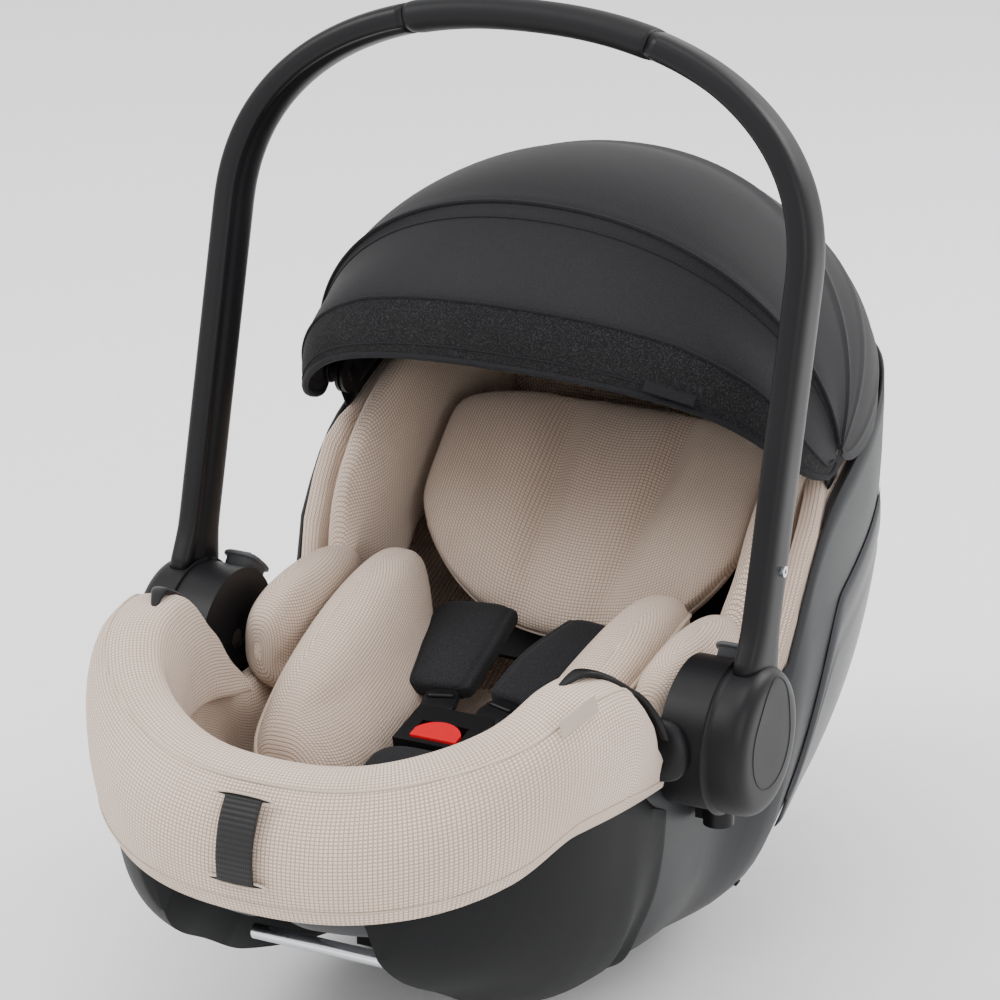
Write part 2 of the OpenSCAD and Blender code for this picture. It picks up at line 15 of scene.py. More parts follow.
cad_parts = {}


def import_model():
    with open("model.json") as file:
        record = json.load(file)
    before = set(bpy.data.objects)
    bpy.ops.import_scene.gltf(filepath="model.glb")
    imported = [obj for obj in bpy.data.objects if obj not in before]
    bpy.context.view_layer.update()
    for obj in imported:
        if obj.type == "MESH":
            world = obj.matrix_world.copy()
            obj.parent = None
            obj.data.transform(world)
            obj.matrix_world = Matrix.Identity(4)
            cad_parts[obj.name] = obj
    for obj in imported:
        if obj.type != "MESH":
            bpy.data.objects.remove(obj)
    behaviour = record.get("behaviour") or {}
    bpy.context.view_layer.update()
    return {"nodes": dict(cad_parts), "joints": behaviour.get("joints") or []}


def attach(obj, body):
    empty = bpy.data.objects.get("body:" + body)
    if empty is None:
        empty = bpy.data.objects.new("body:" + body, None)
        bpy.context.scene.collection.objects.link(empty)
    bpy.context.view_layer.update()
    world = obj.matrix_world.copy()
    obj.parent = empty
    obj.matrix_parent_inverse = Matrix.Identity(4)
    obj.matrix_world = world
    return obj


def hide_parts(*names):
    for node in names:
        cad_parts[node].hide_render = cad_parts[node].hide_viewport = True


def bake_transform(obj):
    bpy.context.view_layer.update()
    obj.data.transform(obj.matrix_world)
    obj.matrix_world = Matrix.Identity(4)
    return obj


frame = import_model()
JOINTS = {j["name"]: j for j in frame["joints"]}
PIVOT_Y, PIVOT_Z = -20.0, JOINTS["handle_turn"]["pos_m"][2] * 1000
SHIFT = PIVOT_Y - JOINTS["handle_turn"]["pos_m"][1] * 1000
CANOPY_Y = JOINTS["canopy_mid_fold"]["pos_m"][1] * 1000 + SHIFT
CANOPY_Z = JOINTS["canopy_mid_fold"]["pos_m"][2] * 1000
scene = bpy.context.scene


# ---------- curves ----------


def world(p):
    """Design millimetres to the row frame in metres."""
    return (np.asarray(p, float) - [0, SHIFT, 0]) / 1000


def ease(t):
    c = np.clip(t, 0, 1)
    return c * c * (3 - 2 * c)


def mix(a, b, t):
    return a + (b - a) * t


def spow(v, e):
    return np.sign(v) * np.abs(v) ** e


def along(points, v):
    """Smooth monotone curve through [position, value] points."""
    x, y = np.array(points, float).T
    v = np.clip(np.asarray(v, float), x[0], x[-1])
    h, d = np.diff(x), np.diff(y) / np.diff(x)
    m = np.zeros_like(y)
    m[0], m[-1] = d[0], d[-1]
    same = d[:-1] * d[1:] > 0
    w1, w2 = 2 * h[1:] + h[:-1], h[1:] + 2 * h[:-1]
    inner = np.zeros(len(y) - 2)
    inner[same] = (w1 + w2)[same] / (w1 / np.where(same, d[:-1], 1) + w2 / np.where(same, d[1:], 1))[same]
    m[1:-1] = inner
    i = np.clip(np.searchsorted(x, v, side="right") - 1, 0, len(x) - 2)
    t = (v - x[i]) / h[i]
    return (
        (1 + 2 * t) * (1 - t) ** 2 * y[i] + t * (1 - t) ** 2 * h[i] * m[i]
        + t * t * (3 - 2 * t) * y[i + 1] + t * t * (t - 1) * h[i] * m[i + 1]
    )


def smooth_path(points, steps=8, closed=False):
    """Catmull-Rom curve through a few points of any dimension."""
    p = [np.array(q, float) for q in points]
    n = len(p)
    out = []
    for i in range(n if closed else n - 1):
        a = p[(i - 1) % n] if closed else p[max(i - 1, 0)]
        b, c = p[i], p[(i + 1) % n]
        d = p[(i + 2) % n] if closed else p[min(i + 2, n - 1)]
        for k in range(steps):
            t = k / steps
            bend, twist = 2 * a - 5 * b + 4 * c - d, 3 * b - a - 3 * c + d
            out.append(0.5 * (2 * b + (c - a) * t + bend * t * t + twist * t**3))
    if not closed:
        out.append(p[-1])
    return np.array(out)


# ---------- the shell's own curves, as in the CAD ----------

FOOT, HEAD, WAIST_W, HEAD_W, WALL = 285.0, 350.0, 163.0, 189.0, 4.0
RIM = [[-285, 206], [-215, 232], [-165, 254], [-130, 246], [-95, 220], [-62, 192], [-40, 186],
       [40, 190], [88, 210], [108, 258], [148, 309], [192, 332], [240, 351], [290, 370], [350, 380]]
KEEL = [[-285, 165], [-255, 140], [-200, 116], [-150, 96], [-100, 68], [-50, 34], [-10, 10], [60, 5],
        [126, 9], [160, 20], [220, 52], [260, 88], [305, 150], [335, 212], [350, 280]]
CHEEK = [[-285, 160], [-262, 122], [-200, 82], [-150, 52], [-100, 34], [-50, 24], [-10, 20]]


def rim_z(y):
    return along(RIM, y)


def half_width(y):
    foot = WAIST_W * (1 - np.clip((-90 - y) / (FOOT - 90), 0, 1) ** 2.4) ** (1 / 2.4)
    head = HEAD_W * (1 - np.clip((y - 140) / (HEAD - 140), 0, 1) ** 3.2) ** (1 / 3.2)
    return np.where(y < -90, foot, mix(WAIST_W, head, ease((y - 35) / 75)))


def section_power(y):
    return mix(2.8, 3.1, ease((y + 100) / 200))


def hull_point(y, s, a, inset=0.0, drop=0.0):
    """Point of the hull at length y, side s, depth angle a from the rim (0) to the keel (90)."""
    e = 2 / section_power(y)
    w = np.maximum(1.5, half_width(y) - inset)
    top = rim_z(y)
    low = np.minimum(along(KEEL, y) + inset, top - 6)
    start = np.degrees(np.arcsin(np.minimum(0.95, (drop / np.maximum(top - low, drop + 2)) ** (1 / e))))
    b = np.radians(mix(start, 90, a / 90))
    return np.stack([s * w * np.cos(b) ** e, y + 0 * b, top - (top - low) * np.sin(b) ** e], -1)


def hull_loop(a, inset=0.0, drop=None, n=144, sides=None):
    """Loop round the hull at depth angle a; sides(y) may give the flanks an inset of their own."""
    t = (np.arange(n) + 0.5) * 2 * math.pi / n
    y = (HEAD - FOOT) / 2 - ((HEAD + FOOT) / 2 - 0.6 - inset) * np.cos(t)
    side = np.where(t < math.pi, 1, -1)
    return hull_point(y, side, a, sides(y) if sides else inset, drop(y) if drop else 0.0)


# ---------- meshes ----------


def surface(name, grid, around=False, caps=False):
    """Quad mesh over grid[i][j] in design mm, closed in j if around, with ends closed if caps.
    Its UV map counts metres of cloth along i and j, so a weave keeps its size."""
    g = np.asarray(grid, float)
    nu, nv = g.shape[:2]
    p = world(g.reshape(-1, 3))
    across = np.concatenate([g, g[:, :1]], 1) if around else g
    steps = np.linalg.norm(np.diff(across, axis=1), axis=2)
    v_len = np.concatenate([np.zeros((nu, 1)), np.cumsum(steps, 1)], 1) / 1000
    v_len -= v_len[:, v_len.shape[1] // 2][:, None]
    u_len = np.concatenate([[0], np.cumsum(np.linalg.norm(np.diff(g, axis=0), axis=2).mean(1))]) / 1000
    cols = nv if around else nv - 1
    faces, uvs = [], []
    for i in range(nu - 1):
        for j in range(cols):
            k = (j + 1) % nv
            faces.append((i * nv + j, i * nv + k, (i + 1) * nv + k, (i + 1) * nv + j))
            uvs += [(u_len[i], v_len[i, j]), (u_len[i], v_len[i, j + 1]),
                    (u_len[i + 1], v_len[i + 1, j + 1]), (u_len[i + 1], v_len[i + 1, j])]
    p = list(map(tuple, p))
    if caps:
        for i, flip in ((0, True), (nu - 1, False)):
            centre = len(p)
            p.append(tuple(world(g[i].mean(0))))
            for j in range(nv):
                a, b = i * nv + j, i * nv + (j + 1) % nv
                faces.append((b, a, centre) if flip else (a, b, centre))
                uvs += [(u_len[i], v_len[i, j])] * 3
    mesh = bpy.data.meshes.new(name)
    mesh.from_pydata(p, [], faces)
    layer = mesh.uv_layers.new(name="cloth")
    layer.data.foreach_set("uv", np.array(uvs, np.float32).ravel())
    mesh.validate()
    obj = bpy.data.objects.new(name, mesh)
    scene.collection.objects.link(obj)
    if around or caps:
        outwards(obj)
    mesh.polygons.foreach_set("use_smooth", [True] * len(mesh.polygons))
    return obj


def outwards(obj):
    """Turns a closed mesh's faces outwards."""
    m = obj.data
    volume = sum(
        m.vertices[q.vertices[0]].co.dot(m.vertices[q.vertices[k]].co.cross(m.vertices[q.vertices[k + 1]].co))
        for q in m.polygons for k in range(1, len(q.vertices) - 1)
    )
    if volume < 0:
        m.flip_normals()


def loop(c, u, v, a, b, power=2.6, n=24):
    """Superellipse about c with axes u and v."""
    t = (np.arange(n) + 0.5) * 2 * math.pi / n
    c, u, v = np.array(c, float), np.array(u, float), np.array(v, float)
    return c + np.outer(a * spow(np.cos(t), 2 / power), u) + np.outer(b * spow(np.sin(t), 2 / power), v)


def frames(path, side):
    """Section axes at each point of a path."""
    path, side = np.array(path, float), np.array(side, float)
    d = np.gradient(path, axis=0)
    d /= np.linalg.norm(d, axis=1)[:, None]
    u = side - d * (d @ side)[:, None]
    u /= np.linalg.norm(u, axis=1)[:, None]
    return u, np.cross(d, u)


def sweep(name, path, side, outline, scale=None):
    """Solid of a closed 2D outline swept along path; scale gives the two factors at each point."""
    u, w = frames(path, side)
    outline = np.array(outline, float)
    scale = np.ones((len(path), 2)) if scale is None else np.array(scale, float)
    grid = []
    for i, c in enumerate(path):
        a, b = (outline * scale[i]).T
        grid.append(np.array(c) + np.outer(a, u[i]) + np.outer(b, w[i]))
    return surface(name, grid, around=True, caps=True)


def oval(a, b, power=2.6, n=24):
    t = (np.arange(n) + 0.5) * 2 * math.pi / n
    return np.stack([a * spow(np.cos(t), 2 / power), b * spow(np.sin(t), 2 / power)], 1)


def cord_line(name, path, r, n=8, closed=False):
    """Round bead along a path, for piping, seams and stitches."""
    path = np.array(path, float)
    d = np.gradient(path, axis=0) if not closed else np.roll(path, -1, 0) - np.roll(path, 1, 0)
    d /= np.maximum(np.linalg.norm(d, axis=1), 1e-9)[:, None]
    ref = np.where(np.abs(d[:, 0:1]) < 0.8, [[1.0, 0, 0]], [[0, 0, 1.0]])
    u = np.cross(d, ref)
    u /= np.linalg.norm(u, axis=1)[:, None]
    for i in range(1, len(u)):
        v = u[i - 1] - d[i] * (u[i - 1] @ d[i])
        u[i] = v / np.linalg.norm(v)
    w = np.cross(d, u)
    t = np.arange(n) * 2 * math.pi / n
    grid = [path[i] + r * (np.outer(np.cos(t), u[i]) + np.outer(np.sin(t), w[i])) for i in range(len(path))]
    if closed:
        grid.append(grid[0])
    return surface(name, grid, around=True, caps=not closed)


def subdivide(obj, levels=1):
    m = obj.modifiers.new("smooth", "SUBSURF")
    m.levels = m.render_levels = levels
    return obj


def bevel(obj, width=0.0012, segments=2, angle=35):
    m = obj.modifiers.new("edges", "BEVEL")
    m.width, m.segments, m.limit_method, m.angle_limit = width, segments, "ANGLE", math.radians(angle)
    m.harden_normals = False
    return obj


def puff(obj, pinned=(), pressure=4.0, cap=0.006, last=16, grow=0.0):
    """Inflates a padded piece with Blender's Cloth, then keeps each point within cap of its start."""
    rest = np.array([v.co for v in obj.data.vertices])
    m = obj.modifiers.new("cloth", "CLOTH")
    s = m.settings
    s.quality, s.mass, s.air_damping = 5, 0.25, 3.0
    s.tension_stiffness = s.compression_stiffness = 12.0
    s.shear_stiffness, s.bending_stiffness = 6.0, 0.6
    s.use_pressure, s.uniform_pressure_force = True, pressure
    s.shrink_min = -grow
    s.effector_weights.gravity = 0
    if len(pinned):
        group = obj.vertex_groups.new(name="seams")
        group.add([int(i) for i in pinned], 1.0, "REPLACE")
        s.vertex_group_mass = "seams"
    m.collision_settings.use_collision = False
    m.point_cache.frame_start, m.point_cache.frame_end = 1, last
    for f in range(1, last + 1):
        scene.frame_set(f)
    made = obj.evaluated_get(bpy.context.evaluated_depsgraph_get())
    move = np.array([v.co for v in made.data.vertices]) - rest
    far = np.linalg.norm(move, axis=1)
    move *= np.where(far > 1e-9, cap * np.tanh(far / cap) / np.maximum(far, 1e-9), 0)[:, None]
    obj.modifiers.remove(m)
    obj.vertex_groups.clear()
    obj.data.vertices.foreach_set("co", (rest + move).ravel())
    obj.data.update()
    scene.frame_set(1)
    return obj


# ---------- materials ----------


class Nodes:
    """Small helper for building a node material."""

    def __init__(self, name):
        self.mat = bpy.data.materials.new(name)
        self.mat.use_nodes = True
        self.tree = self.mat.node_tree
        self.shader = self.tree.nodes["Principled BSDF"]
        self.coords = self.tree.nodes.new("ShaderNodeTexCoord")

    def set(self, node, key, value):
        socket = node.inputs[key]
        if hasattr(value, "is_output"):
            self.tree.links.new(value, socket)
        else:
            socket.default_value = value

    def math(self, op, a, b=0.0, c=None):
        node = self.tree.nodes.new("ShaderNodeMath")
        node.operation = op
        for i, value in enumerate((a, b) if c is None else (a, b, c)):
            if hasattr(value, "is_output"):
                self.tree.links.new(value, node.inputs[i])
            else:
                node.inputs[i].default_value = value
        return node.outputs[0]

    def noise(self, scale, detail=2.0, vector=None):
        node = self.tree.nodes.new("ShaderNodeTexNoise")
        node.inputs["Scale"].default_value = scale
        node.inputs["Detail"].default_value = detail
        self.tree.links.new(vector or self.coords.outputs["Object"], node.inputs["Vector"])
        return node.outputs["Fac"]

    def ramp(self, value, a, b, lo, hi):
        node = self.tree.nodes.new("ShaderNodeMapRange")
        node.interpolation_type = "SMOOTHSTEP"
        for key, v in zip(("Value", "From Min", "From Max", "To Min", "To Max"), (value, a, b, lo, hi)):
            self.set(node, key, v)
        return node.outputs["Result"]

    def blend(self, fac, a, b):
        node = self.tree.nodes.new("ShaderNodeMix")
        node.data_type = "RGBA"
        self.set(node, 0, fac)
        for i, c in ((6, a), (7, b)):
            if hasattr(c, "is_output"):
                self.tree.links.new(c, node.inputs[i])
            else:
                node.inputs[i].default_value = (*c, 1)
        return node.outputs[2]

    def bump(self, height, distance, strength=1.0, normal=None):
        node = self.tree.nodes.new("ShaderNodeBump")
        node.inputs["Strength"].default_value = strength
        node.inputs["Distance"].default_value = distance
        self.tree.links.new(height, node.inputs["Height"])
        if normal:
            self.tree.links.new(normal, node.inputs["Normal"])
        return node.outputs["Normal"]

    def shade(self, **sockets):
        for key, value in sockets.items():
            self.set(self.shader, key.replace("_", " "), value)
        return self.mat


def plastic(name, colour, rough=0.38, grain=0.00012, grain_scale=1400, shine=0.18):
    n = Nodes(name)
    fine, broad = n.noise(grain_scale, 3), n.noise(9, 3)
    dark = tuple(c * 0.86 for c in colour)
    light = tuple(min(1, c * 1.12) for c in colour)
    n.shade(Base_Color=n.blend(broad, dark, light),
            Roughness=n.ramp(broad, 0.3, 0.7, rough - 0.04, rough + 0.05), Normal=n.bump(fine, grain, 0.6))
    n.shader.inputs["Specular IOR Level"].default_value = shine
    return n.mat


def metal(name, colour, rough=0.18):
    n = Nodes(name)
    streak = n.noise(320, 2)
    n.shade(Base_Color=n.blend(streak, tuple(c * 0.9 for c in colour), colour),
            Roughness=n.ramp(streak, 0.3, 0.7, rough - 0.04, rough + 0.06), Metallic=1.0,
            Normal=n.bump(streak, 0.00004, 0.4))
    return n.mat


def waffle(name, light, dark, pitch=0.0025, depth=0.0007):
    """Knitted waffle cloth: small raised cells between sunken lines, on the cloth's own UV map."""
    n = Nodes(name)
    uv = n.tree.nodes.new("ShaderNodeSeparateXYZ")
    warp = n.noise(26, 2)
    n.tree.links.new(n.coords.outputs["UV"], uv.inputs[0])
    off = n.math("MULTIPLY", warp, 0.5)
    u = n.math("ADD", n.math("MULTIPLY", uv.outputs[0], 1 / pitch), off)
    v = n.math("ADD", n.math("MULTIPLY", uv.outputs[1], 1 / (pitch * 0.92)), off)
    cell = n.math("MINIMUM", n.math("PINGPONG", u, 0.5), n.math("PINGPONG", v, 0.5))
    height = n.ramp(cell, 0.02, 0.24, 0.0, 1.0)
    yarn = n.noise(1500, 2)
    patch = n.noise(14, 3)
    # painted shade: the sunken lines between the cells take the dark colour and the raised cells the light one,
    # from the same height as the bump
    tone = n.blend(n.math("MULTIPLY", n.ramp(patch, 0.3, 0.7, 0.8, 1.0), height), dark, light)
    full = n.math("ADD", height, n.math("MULTIPLY", yarn, 0.25))
    n.shade(Base_Color=tone, Roughness=0.93, Normal=n.bump(full, depth, 0.85))
    n.shader.inputs["Specular IOR Level"].default_value = 0.2
    n.shader.inputs["Sheen Weight"].default_value = 0.25
    n.shader.inputs["Sheen Roughness"].default_value = 0.5
    n.shader.inputs["Sheen Tint"].default_value = (1, 0.95, 0.9, 1)
    return n.mat


def woven(name, colour, fleck, scale=0.0011, depth=0.00016, mottle=0.5, rough=0.85):
    """Plain woven cloth with a fine over-and-under grid and a mottle of lighter yarns."""
    n = Nodes(name)
    uv = n.tree.nodes.new("ShaderNodeSeparateXYZ")
    n.tree.links.new(n.coords.outputs["UV"], uv.inputs[0])
    a = n.math("SINE", n.math("MULTIPLY", uv.outputs[0], 2 * math.pi / scale))
    b = n.math("SINE", n.math("MULTIPLY", uv.outputs[1], 2 * math.pi / scale))
    weave = n.ramp(n.math("MULTIPLY", a, b), -1.0, 1.0, 0.0, 1.0)
    yarn = n.noise(900, 3)
    patch = n.noise(7, 4)
    mixed = n.math("MULTIPLY", n.ramp(yarn, 0.42, 0.72, 0.0, 1.0), mottle)
    tone = n.blend(mixed, colour, fleck)
    dark = n.blend(n.ramp(patch, 0.3, 0.7, 0.0, 0.22), tone, (0.004, 0.004, 0.005))
    n.shade(Base_Color=dark, Roughness=rough, Normal=n.bump(n.math("ADD", weave, yarn), depth, 0.7))
    n.shader.inputs["Specular IOR Level"].default_value = 0.15
    n.shader.inputs["Sheen Weight"].default_value = 0.05
    n.shader.inputs["Sheen Roughness"].default_value = 0.4
    return n.mat


def webbing(name, colour):
    """Ribbed webbing: fine ribs along it and a small cross weave."""
    n = Nodes(name)
    uv = n.tree.nodes.new("ShaderNodeSeparateXYZ")
    n.tree.links.new(n.coords.outputs["UV"], uv.inputs[0])
    rib = n.math("SINE", n.math("MULTIPLY", uv.outputs[0], 2 * math.pi / 0.0032))
    warp = n.math("SINE", n.math("MULTIPLY", uv.outputs[1], 2 * math.pi / 0.0013))
    height = n.math("ADD", rib, n.math("MULTIPLY", warp, 0.4))
    # painted shade: the troughs between the ribs are coloured at half the webbing's colour, the crests at its
    # full colour
    tone = n.blend(n.ramp(height, -1.2, 1.2, 0.0, 1.0), tuple(c * 0.5 for c in colour), colour)
    n.shade(Base_Color=tone, Roughness=0.5, Normal=n.bump(height, 0.00025, 0.7))
    n.shader.inputs["Specular IOR Level"].default_value = 0.3
    return n.mat


BLACK = plastic("black_satin", (0.007, 0.007, 0.008), 0.38)
BLACK_SOFT = plastic("black_soft", (0.007, 0.007, 0.008), 0.5)
SHELL = plastic("shell_grey", (0.024, 0.025, 0.027), 0.4, 0.00018)
CHEEKS = plastic("cheek_black", (0.0085, 0.0088, 0.0095), 0.5, 0.00018, shine=0.1)
PANEL = plastic("panel_grey", (0.046, 0.047, 0.051), 0.32, 0.00014)
BUTTON = plastic("button_grey", (0.075, 0.077, 0.082), 0.42)
INSIDE = plastic("liner_foam", (0.10, 0.10, 0.105), 0.8)
RED = plastic("buckle_red", (0.62, 0.012, 0.02), 0.22, 0.00004)
CHROME = metal("bright_steel", (0.72, 0.74, 0.77))
# the knit's second, darker colour is painted shade for its sunken lines
KNIT = waffle("knit_beige", (0.76, 0.615, 0.515), (0.42, 0.30, 0.225))
BEAD = woven("piping_beige", (0.60, 0.49, 0.40), (0.70, 0.60, 0.50), 0.0008, mottle=0.3)
TAG = woven("tag_beige", (0.50, 0.41, 0.34), (0.58, 0.49, 0.42), 0.0007, mottle=0.2)
PAD = woven("pad_black", (0.014, 0.014, 0.016), (0.045, 0.045, 0.05), 0.0012, mottle=0.35)
CANOPY = woven("canopy_charcoal", (0.013, 0.013, 0.0145), (0.03, 0.03, 0.033), 0.0010, 0.0001, 0.3, 0.62)
VISOR = woven("visor_melange", (0.009, 0.009, 0.010), (0.05, 0.05, 0.053), 0.0012, 0.0002, 0.5, 0.9)
HEM = woven("hem_black", (0.012, 0.012, 0.014), (0.03, 0.03, 0.034), 0.0012, 0.0002, 0.3)
STRAP = webbing("strap_black", (0.012, 0.012, 0.013))


def dress(obj, material, body="shell", replaces=()):
    obj.data.materials.clear()
    obj.data.materials.append(material)
    if replaces:
        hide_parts(*replaces)
    if body:
        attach(obj, body)
    return obj


SIDES = ((-1, "left"), (1, "right"))

# ---------- CAD nodes that stay ----------

KEPT = {
    "foam_liner": INSIDE, "skid": BLACK, "belly_tray": BLACK, "front_bar": CHROME, "rear_bar": CHROME,
    "rear_belt_hook": BLACK, "adapter_socket": BLACK, "lock_ring": CHROME, "lock_springs": CHROME,
    "pivot_pin": CHROME, "handle_screws": CHROME, "headrest_shell": SHELL, "buckle_body": BLACK,
    "buckle_button": RED, "front_bow": BLACK, "mid_bow": BLACK, "hub": BLACK,
}
for name, node in frame["nodes"].items():
    stem = name.replace("_left", "").replace("_right", "")
    if stem in KEPT:
        node.data.materials.clear()
        node.data.materials.append(KEPT[stem])
        node.data.shade_smooth()
        if stem not in ("foam_liner", "lock_springs", "front_bow", "mid_bow", "lock_ring"):
            bevel(node, 0.0009 if stem not in ("hub",) else 0.002)
        node.data.set_sharp_from_angle(angle=math.radians(40))

# ---------- hard shell ----------


def shell_skin():
    rows = [hull_loop(a) for a in np.linspace(84, 1.2, 20)]
    rows += [hull_loop(0.2, inset) + [0, 0, up] for inset, up in ((0.6, 0.9), (2.0, 1.6), (3.4, 0.9))]
    rows += [hull_loop(a, WALL) for a in np.linspace(1.2, 84, 20)]
    obj = surface("shell_skin", rows, around=True, caps=True)
    return dress(obj, SHELL, replaces=["outer_shell"])


# rear edge of the cheek: how far round the hull's flank (1 at the rim) and how far back
CHEEK_END = [[0.3, 4], [0.69, -14], [0.88, -44], [0.96, -52], [1, -56]]


def cheek(s, side):
    """Deep moulded cheek that ends in a step on the shell and runs on up under the cover."""
    grid = []
    for q in np.linspace(0, 1, 64):
        w = float(half_width(mix(-264, -30, q)))
        deepest = min(73, math.degrees(math.acos(min(0.9, (66 / w) ** 1.5))))
        under, outer = [], []
        for a in np.linspace(3.5, deepest, 34):
            c, b = math.cos(math.radians(a)), math.sin(math.radians(a))
            y = mix(-264, float(along(CHEEK_END, c**0.66)), q)
            top, low = float(rim_z(y)), float(along(CHEEK, y))
            e = 2 / mix(4, 3.1, float(ease((y + 150) / 120)))
            deep = np.array([s * (float(half_width(y)) + 3.3) * c**e, y, top - (top - low) * b**e])
            under.append(hull_point(y, s, a, -0.4))
            outer.append(mix(deep, hull_point(y, s, a, -3.3), float(ease((q - 0.8) / 0.17))))
        grid.append(under[::-1] + outer)
    obj = surface("cheek_" + side, grid, around=True, caps=True)
    bevel(obj, 0.001)
    return dress(obj, CHEEKS, replaces=["side_panel_" + side])


def patch_point(s, y, a0, a1, v, gap):
    return hull_point(y, s, mix(a0, a1, v), -gap)


def back_panel(s, side):
    """Raised flank panel with rounded edges, and the rows of small vents in front of it."""
    grid = []
    for y in np.linspace(113, 261, 40):
        a0 = mix(26, 8, float(ease((y - 112) / 60)))
        a1 = mix(34, 40, float(ease((y - 112) / 80)))
        v = np.linspace(0, 1, 26)
        lift = 2.9 * np.minimum(1, np.minimum(v, 1 - v) / 0.09) ** 0.5
        lift = lift * min(1, min(y - 112, 262 - y) / 7) ** 0.5
        lift = lift - 0.8 * np.exp(-(((v - 0.16) / 0.02) ** 2)) - 0.8 * np.exp(-(((v - 0.84) / 0.02) ** 2))
        front = [patch_point(s, y, a0, a1, q, 0.7 + h) for q, h in zip(v, lift)]
        back = [patch_point(s, y, a0, a1, q, 0.6) for q in np.linspace(1, 0, 8)]
        grid.append(front + back)
    panel = surface("flank_" + side, grid, around=True, caps=True)
    dress(panel, PANEL, replaces=["back_panel_" + side])
    # painted shade: the vent holes are drawn as small black beads on the shell, whose black stands for the
    # shade inside the holes
    vent_shade_beads = []
    for row, (y0, a) in enumerate(((92, 44), (97, 52), (92, 60))):
        for k in range(5):
            y = y0 + 9.5 * k
            p, q = hull_point(y, s, a, -0.15), hull_point(y + 4.2, s, a, -0.15)
            line = [mix(p, q, t) for t in (0, 0.33, 0.66, 1)]
            vent_shade_beads.append(cord_line(f"vent_{side}_{row}_{k}", line, 1.1, 8))
    vents = joined(f"vents_{side}", vent_shade_beads)
    dress(vents, BLACK_SOFT)


def joined(name, objs):
    """One mesh object from several."""
    bpy.context.view_layer.update()
    with bpy.context.temp_override(active_object=objs[0], object=objs[0], selected_objects=objs,
                                   selected_editable_objects=objs):
        bpy.ops.object.join()
    objs[0].name = objs[0].data.name = name
    return objs[0]


shell_skin()
for s, side in SIDES:
    cheek(s, side)
    back_panel(s, side)

# ---------- handle ----------

LEAN, REACH, STRAIGHT, HALF_W = 14.8, 430.0, 285.0, 203.5
DEEP = np.array([0, math.cos(math.radians(LEAN)), -math.sin(math.radians(LEAN))])


def leaning(x, h):
    a = math.radians(LEAN)
    return np.array([x, PIVOT_Y + h * math.sin(a), PIVOT_Z + h * math.cos(a)])


def bow(t):
    c, q, e = math.cos(math.radians(t)), math.sin(math.radians(t)), 2 / 2.25
    return leaning(HALF_W * math.copysign(abs(c) ** e, c), STRAIGHT + (REACH - STRAIGHT) * q**e)


def leg_outline():
    """Leg section: rounded, with a shallow channel along its front inner edge."""
    o = oval(17, 9.5, 3.2, 72)
    a, b = o[:, 0], o[:, 1]
    channel = np.exp(-(((a + 9.5) / 4.2) ** 2)) * (b > 0)
    o[:, 1] -= 2.4 * channel * np.clip(b / 9.5, 0, 1)
    return o


def leg(s, side):
    heights = list(np.linspace(40, 280, 26))
    path = [leaning(s * HALF_W, h) for h in heights]
    path += [bow(t) * [s, 1, 1] for t in np.linspace(0.6, 67.6, 40)]
    widen = [[1 + 0.45 * float(ease((75 - h) / 40)), 1.0] for h in heights] + [[1, 1]] * 40
    outline = leg_outline()
    outline[:, 1] *= s
    obj = sweep("leg_" + side, path, DEEP, outline, widen)
    return dress(obj, BLACK, "handle", ["handle_leg_" + side])


def grip():
    """Soft grip that swells over the ends of the legs, with two moulded joint lines."""
    ts = np.linspace(67.9, 112.1, 60)
    path = [bow(t) for t in ts]
    k = np.minimum(1, (22.1 - np.abs(ts - 90)) / 1.2)
    scale = [[0.97 + 0.03 * float(ease(q)), 0.95 + 0.05 * float(ease(q))] for q in k]
    obj = sweep("grip", path, DEEP, oval(18, 10.5, 2.5, 48), scale)
    return dress(obj, BLACK_SOFT, "handle", ["handle_grip"])


def cap(s, side):
    """Round cap with a soft outer edge and a teardrop part line on its face."""
    profile = [(194.0, 6), (194.0, 47.4), (196.0, 48), (210, 48), (215, 46.6),
               (218.4, 43.6), (220.3, 39), (220.9, 32), (221, 20), (221, 4)]
    t = np.linspace(0, 2 * math.pi, 97)[:-1]
    grid = []
    for x, r in smooth_path(profile, 4):
        grid.append([(s * x, PIVOT_Y + r * math.cos(q), PIVOT_Z + r * math.sin(q)) for q in t])
    obj = surface("cap_" + side, grid, around=True, caps=True)
    dress(obj, BLACK, "handle", ["handle_cap_" + side])
    line = []
    for q in np.linspace(0, 2 * math.pi, 73)[:-1]:
        r = 29 + 13 * max(0.0, math.cos(q)) ** 5
        x = float(along([[0, 221], [32, 220.9], [39, 220.3], [43.6, 218.4], [46.6, 215]], r))
        turn = q + math.radians(LEAN)
        line.append((s * (x - 0.1), PIVOT_Y + r * math.sin(turn), PIVOT_Z + r * math.cos(turn)))
    seam = cord_line("cap_seam_" + side, line, 0.6, 6, closed=True)
    dress(seam, BLACK_SOFT, "handle")


for s, side in SIDES:
    leg(s, side)
    cap(s, side)
grip()


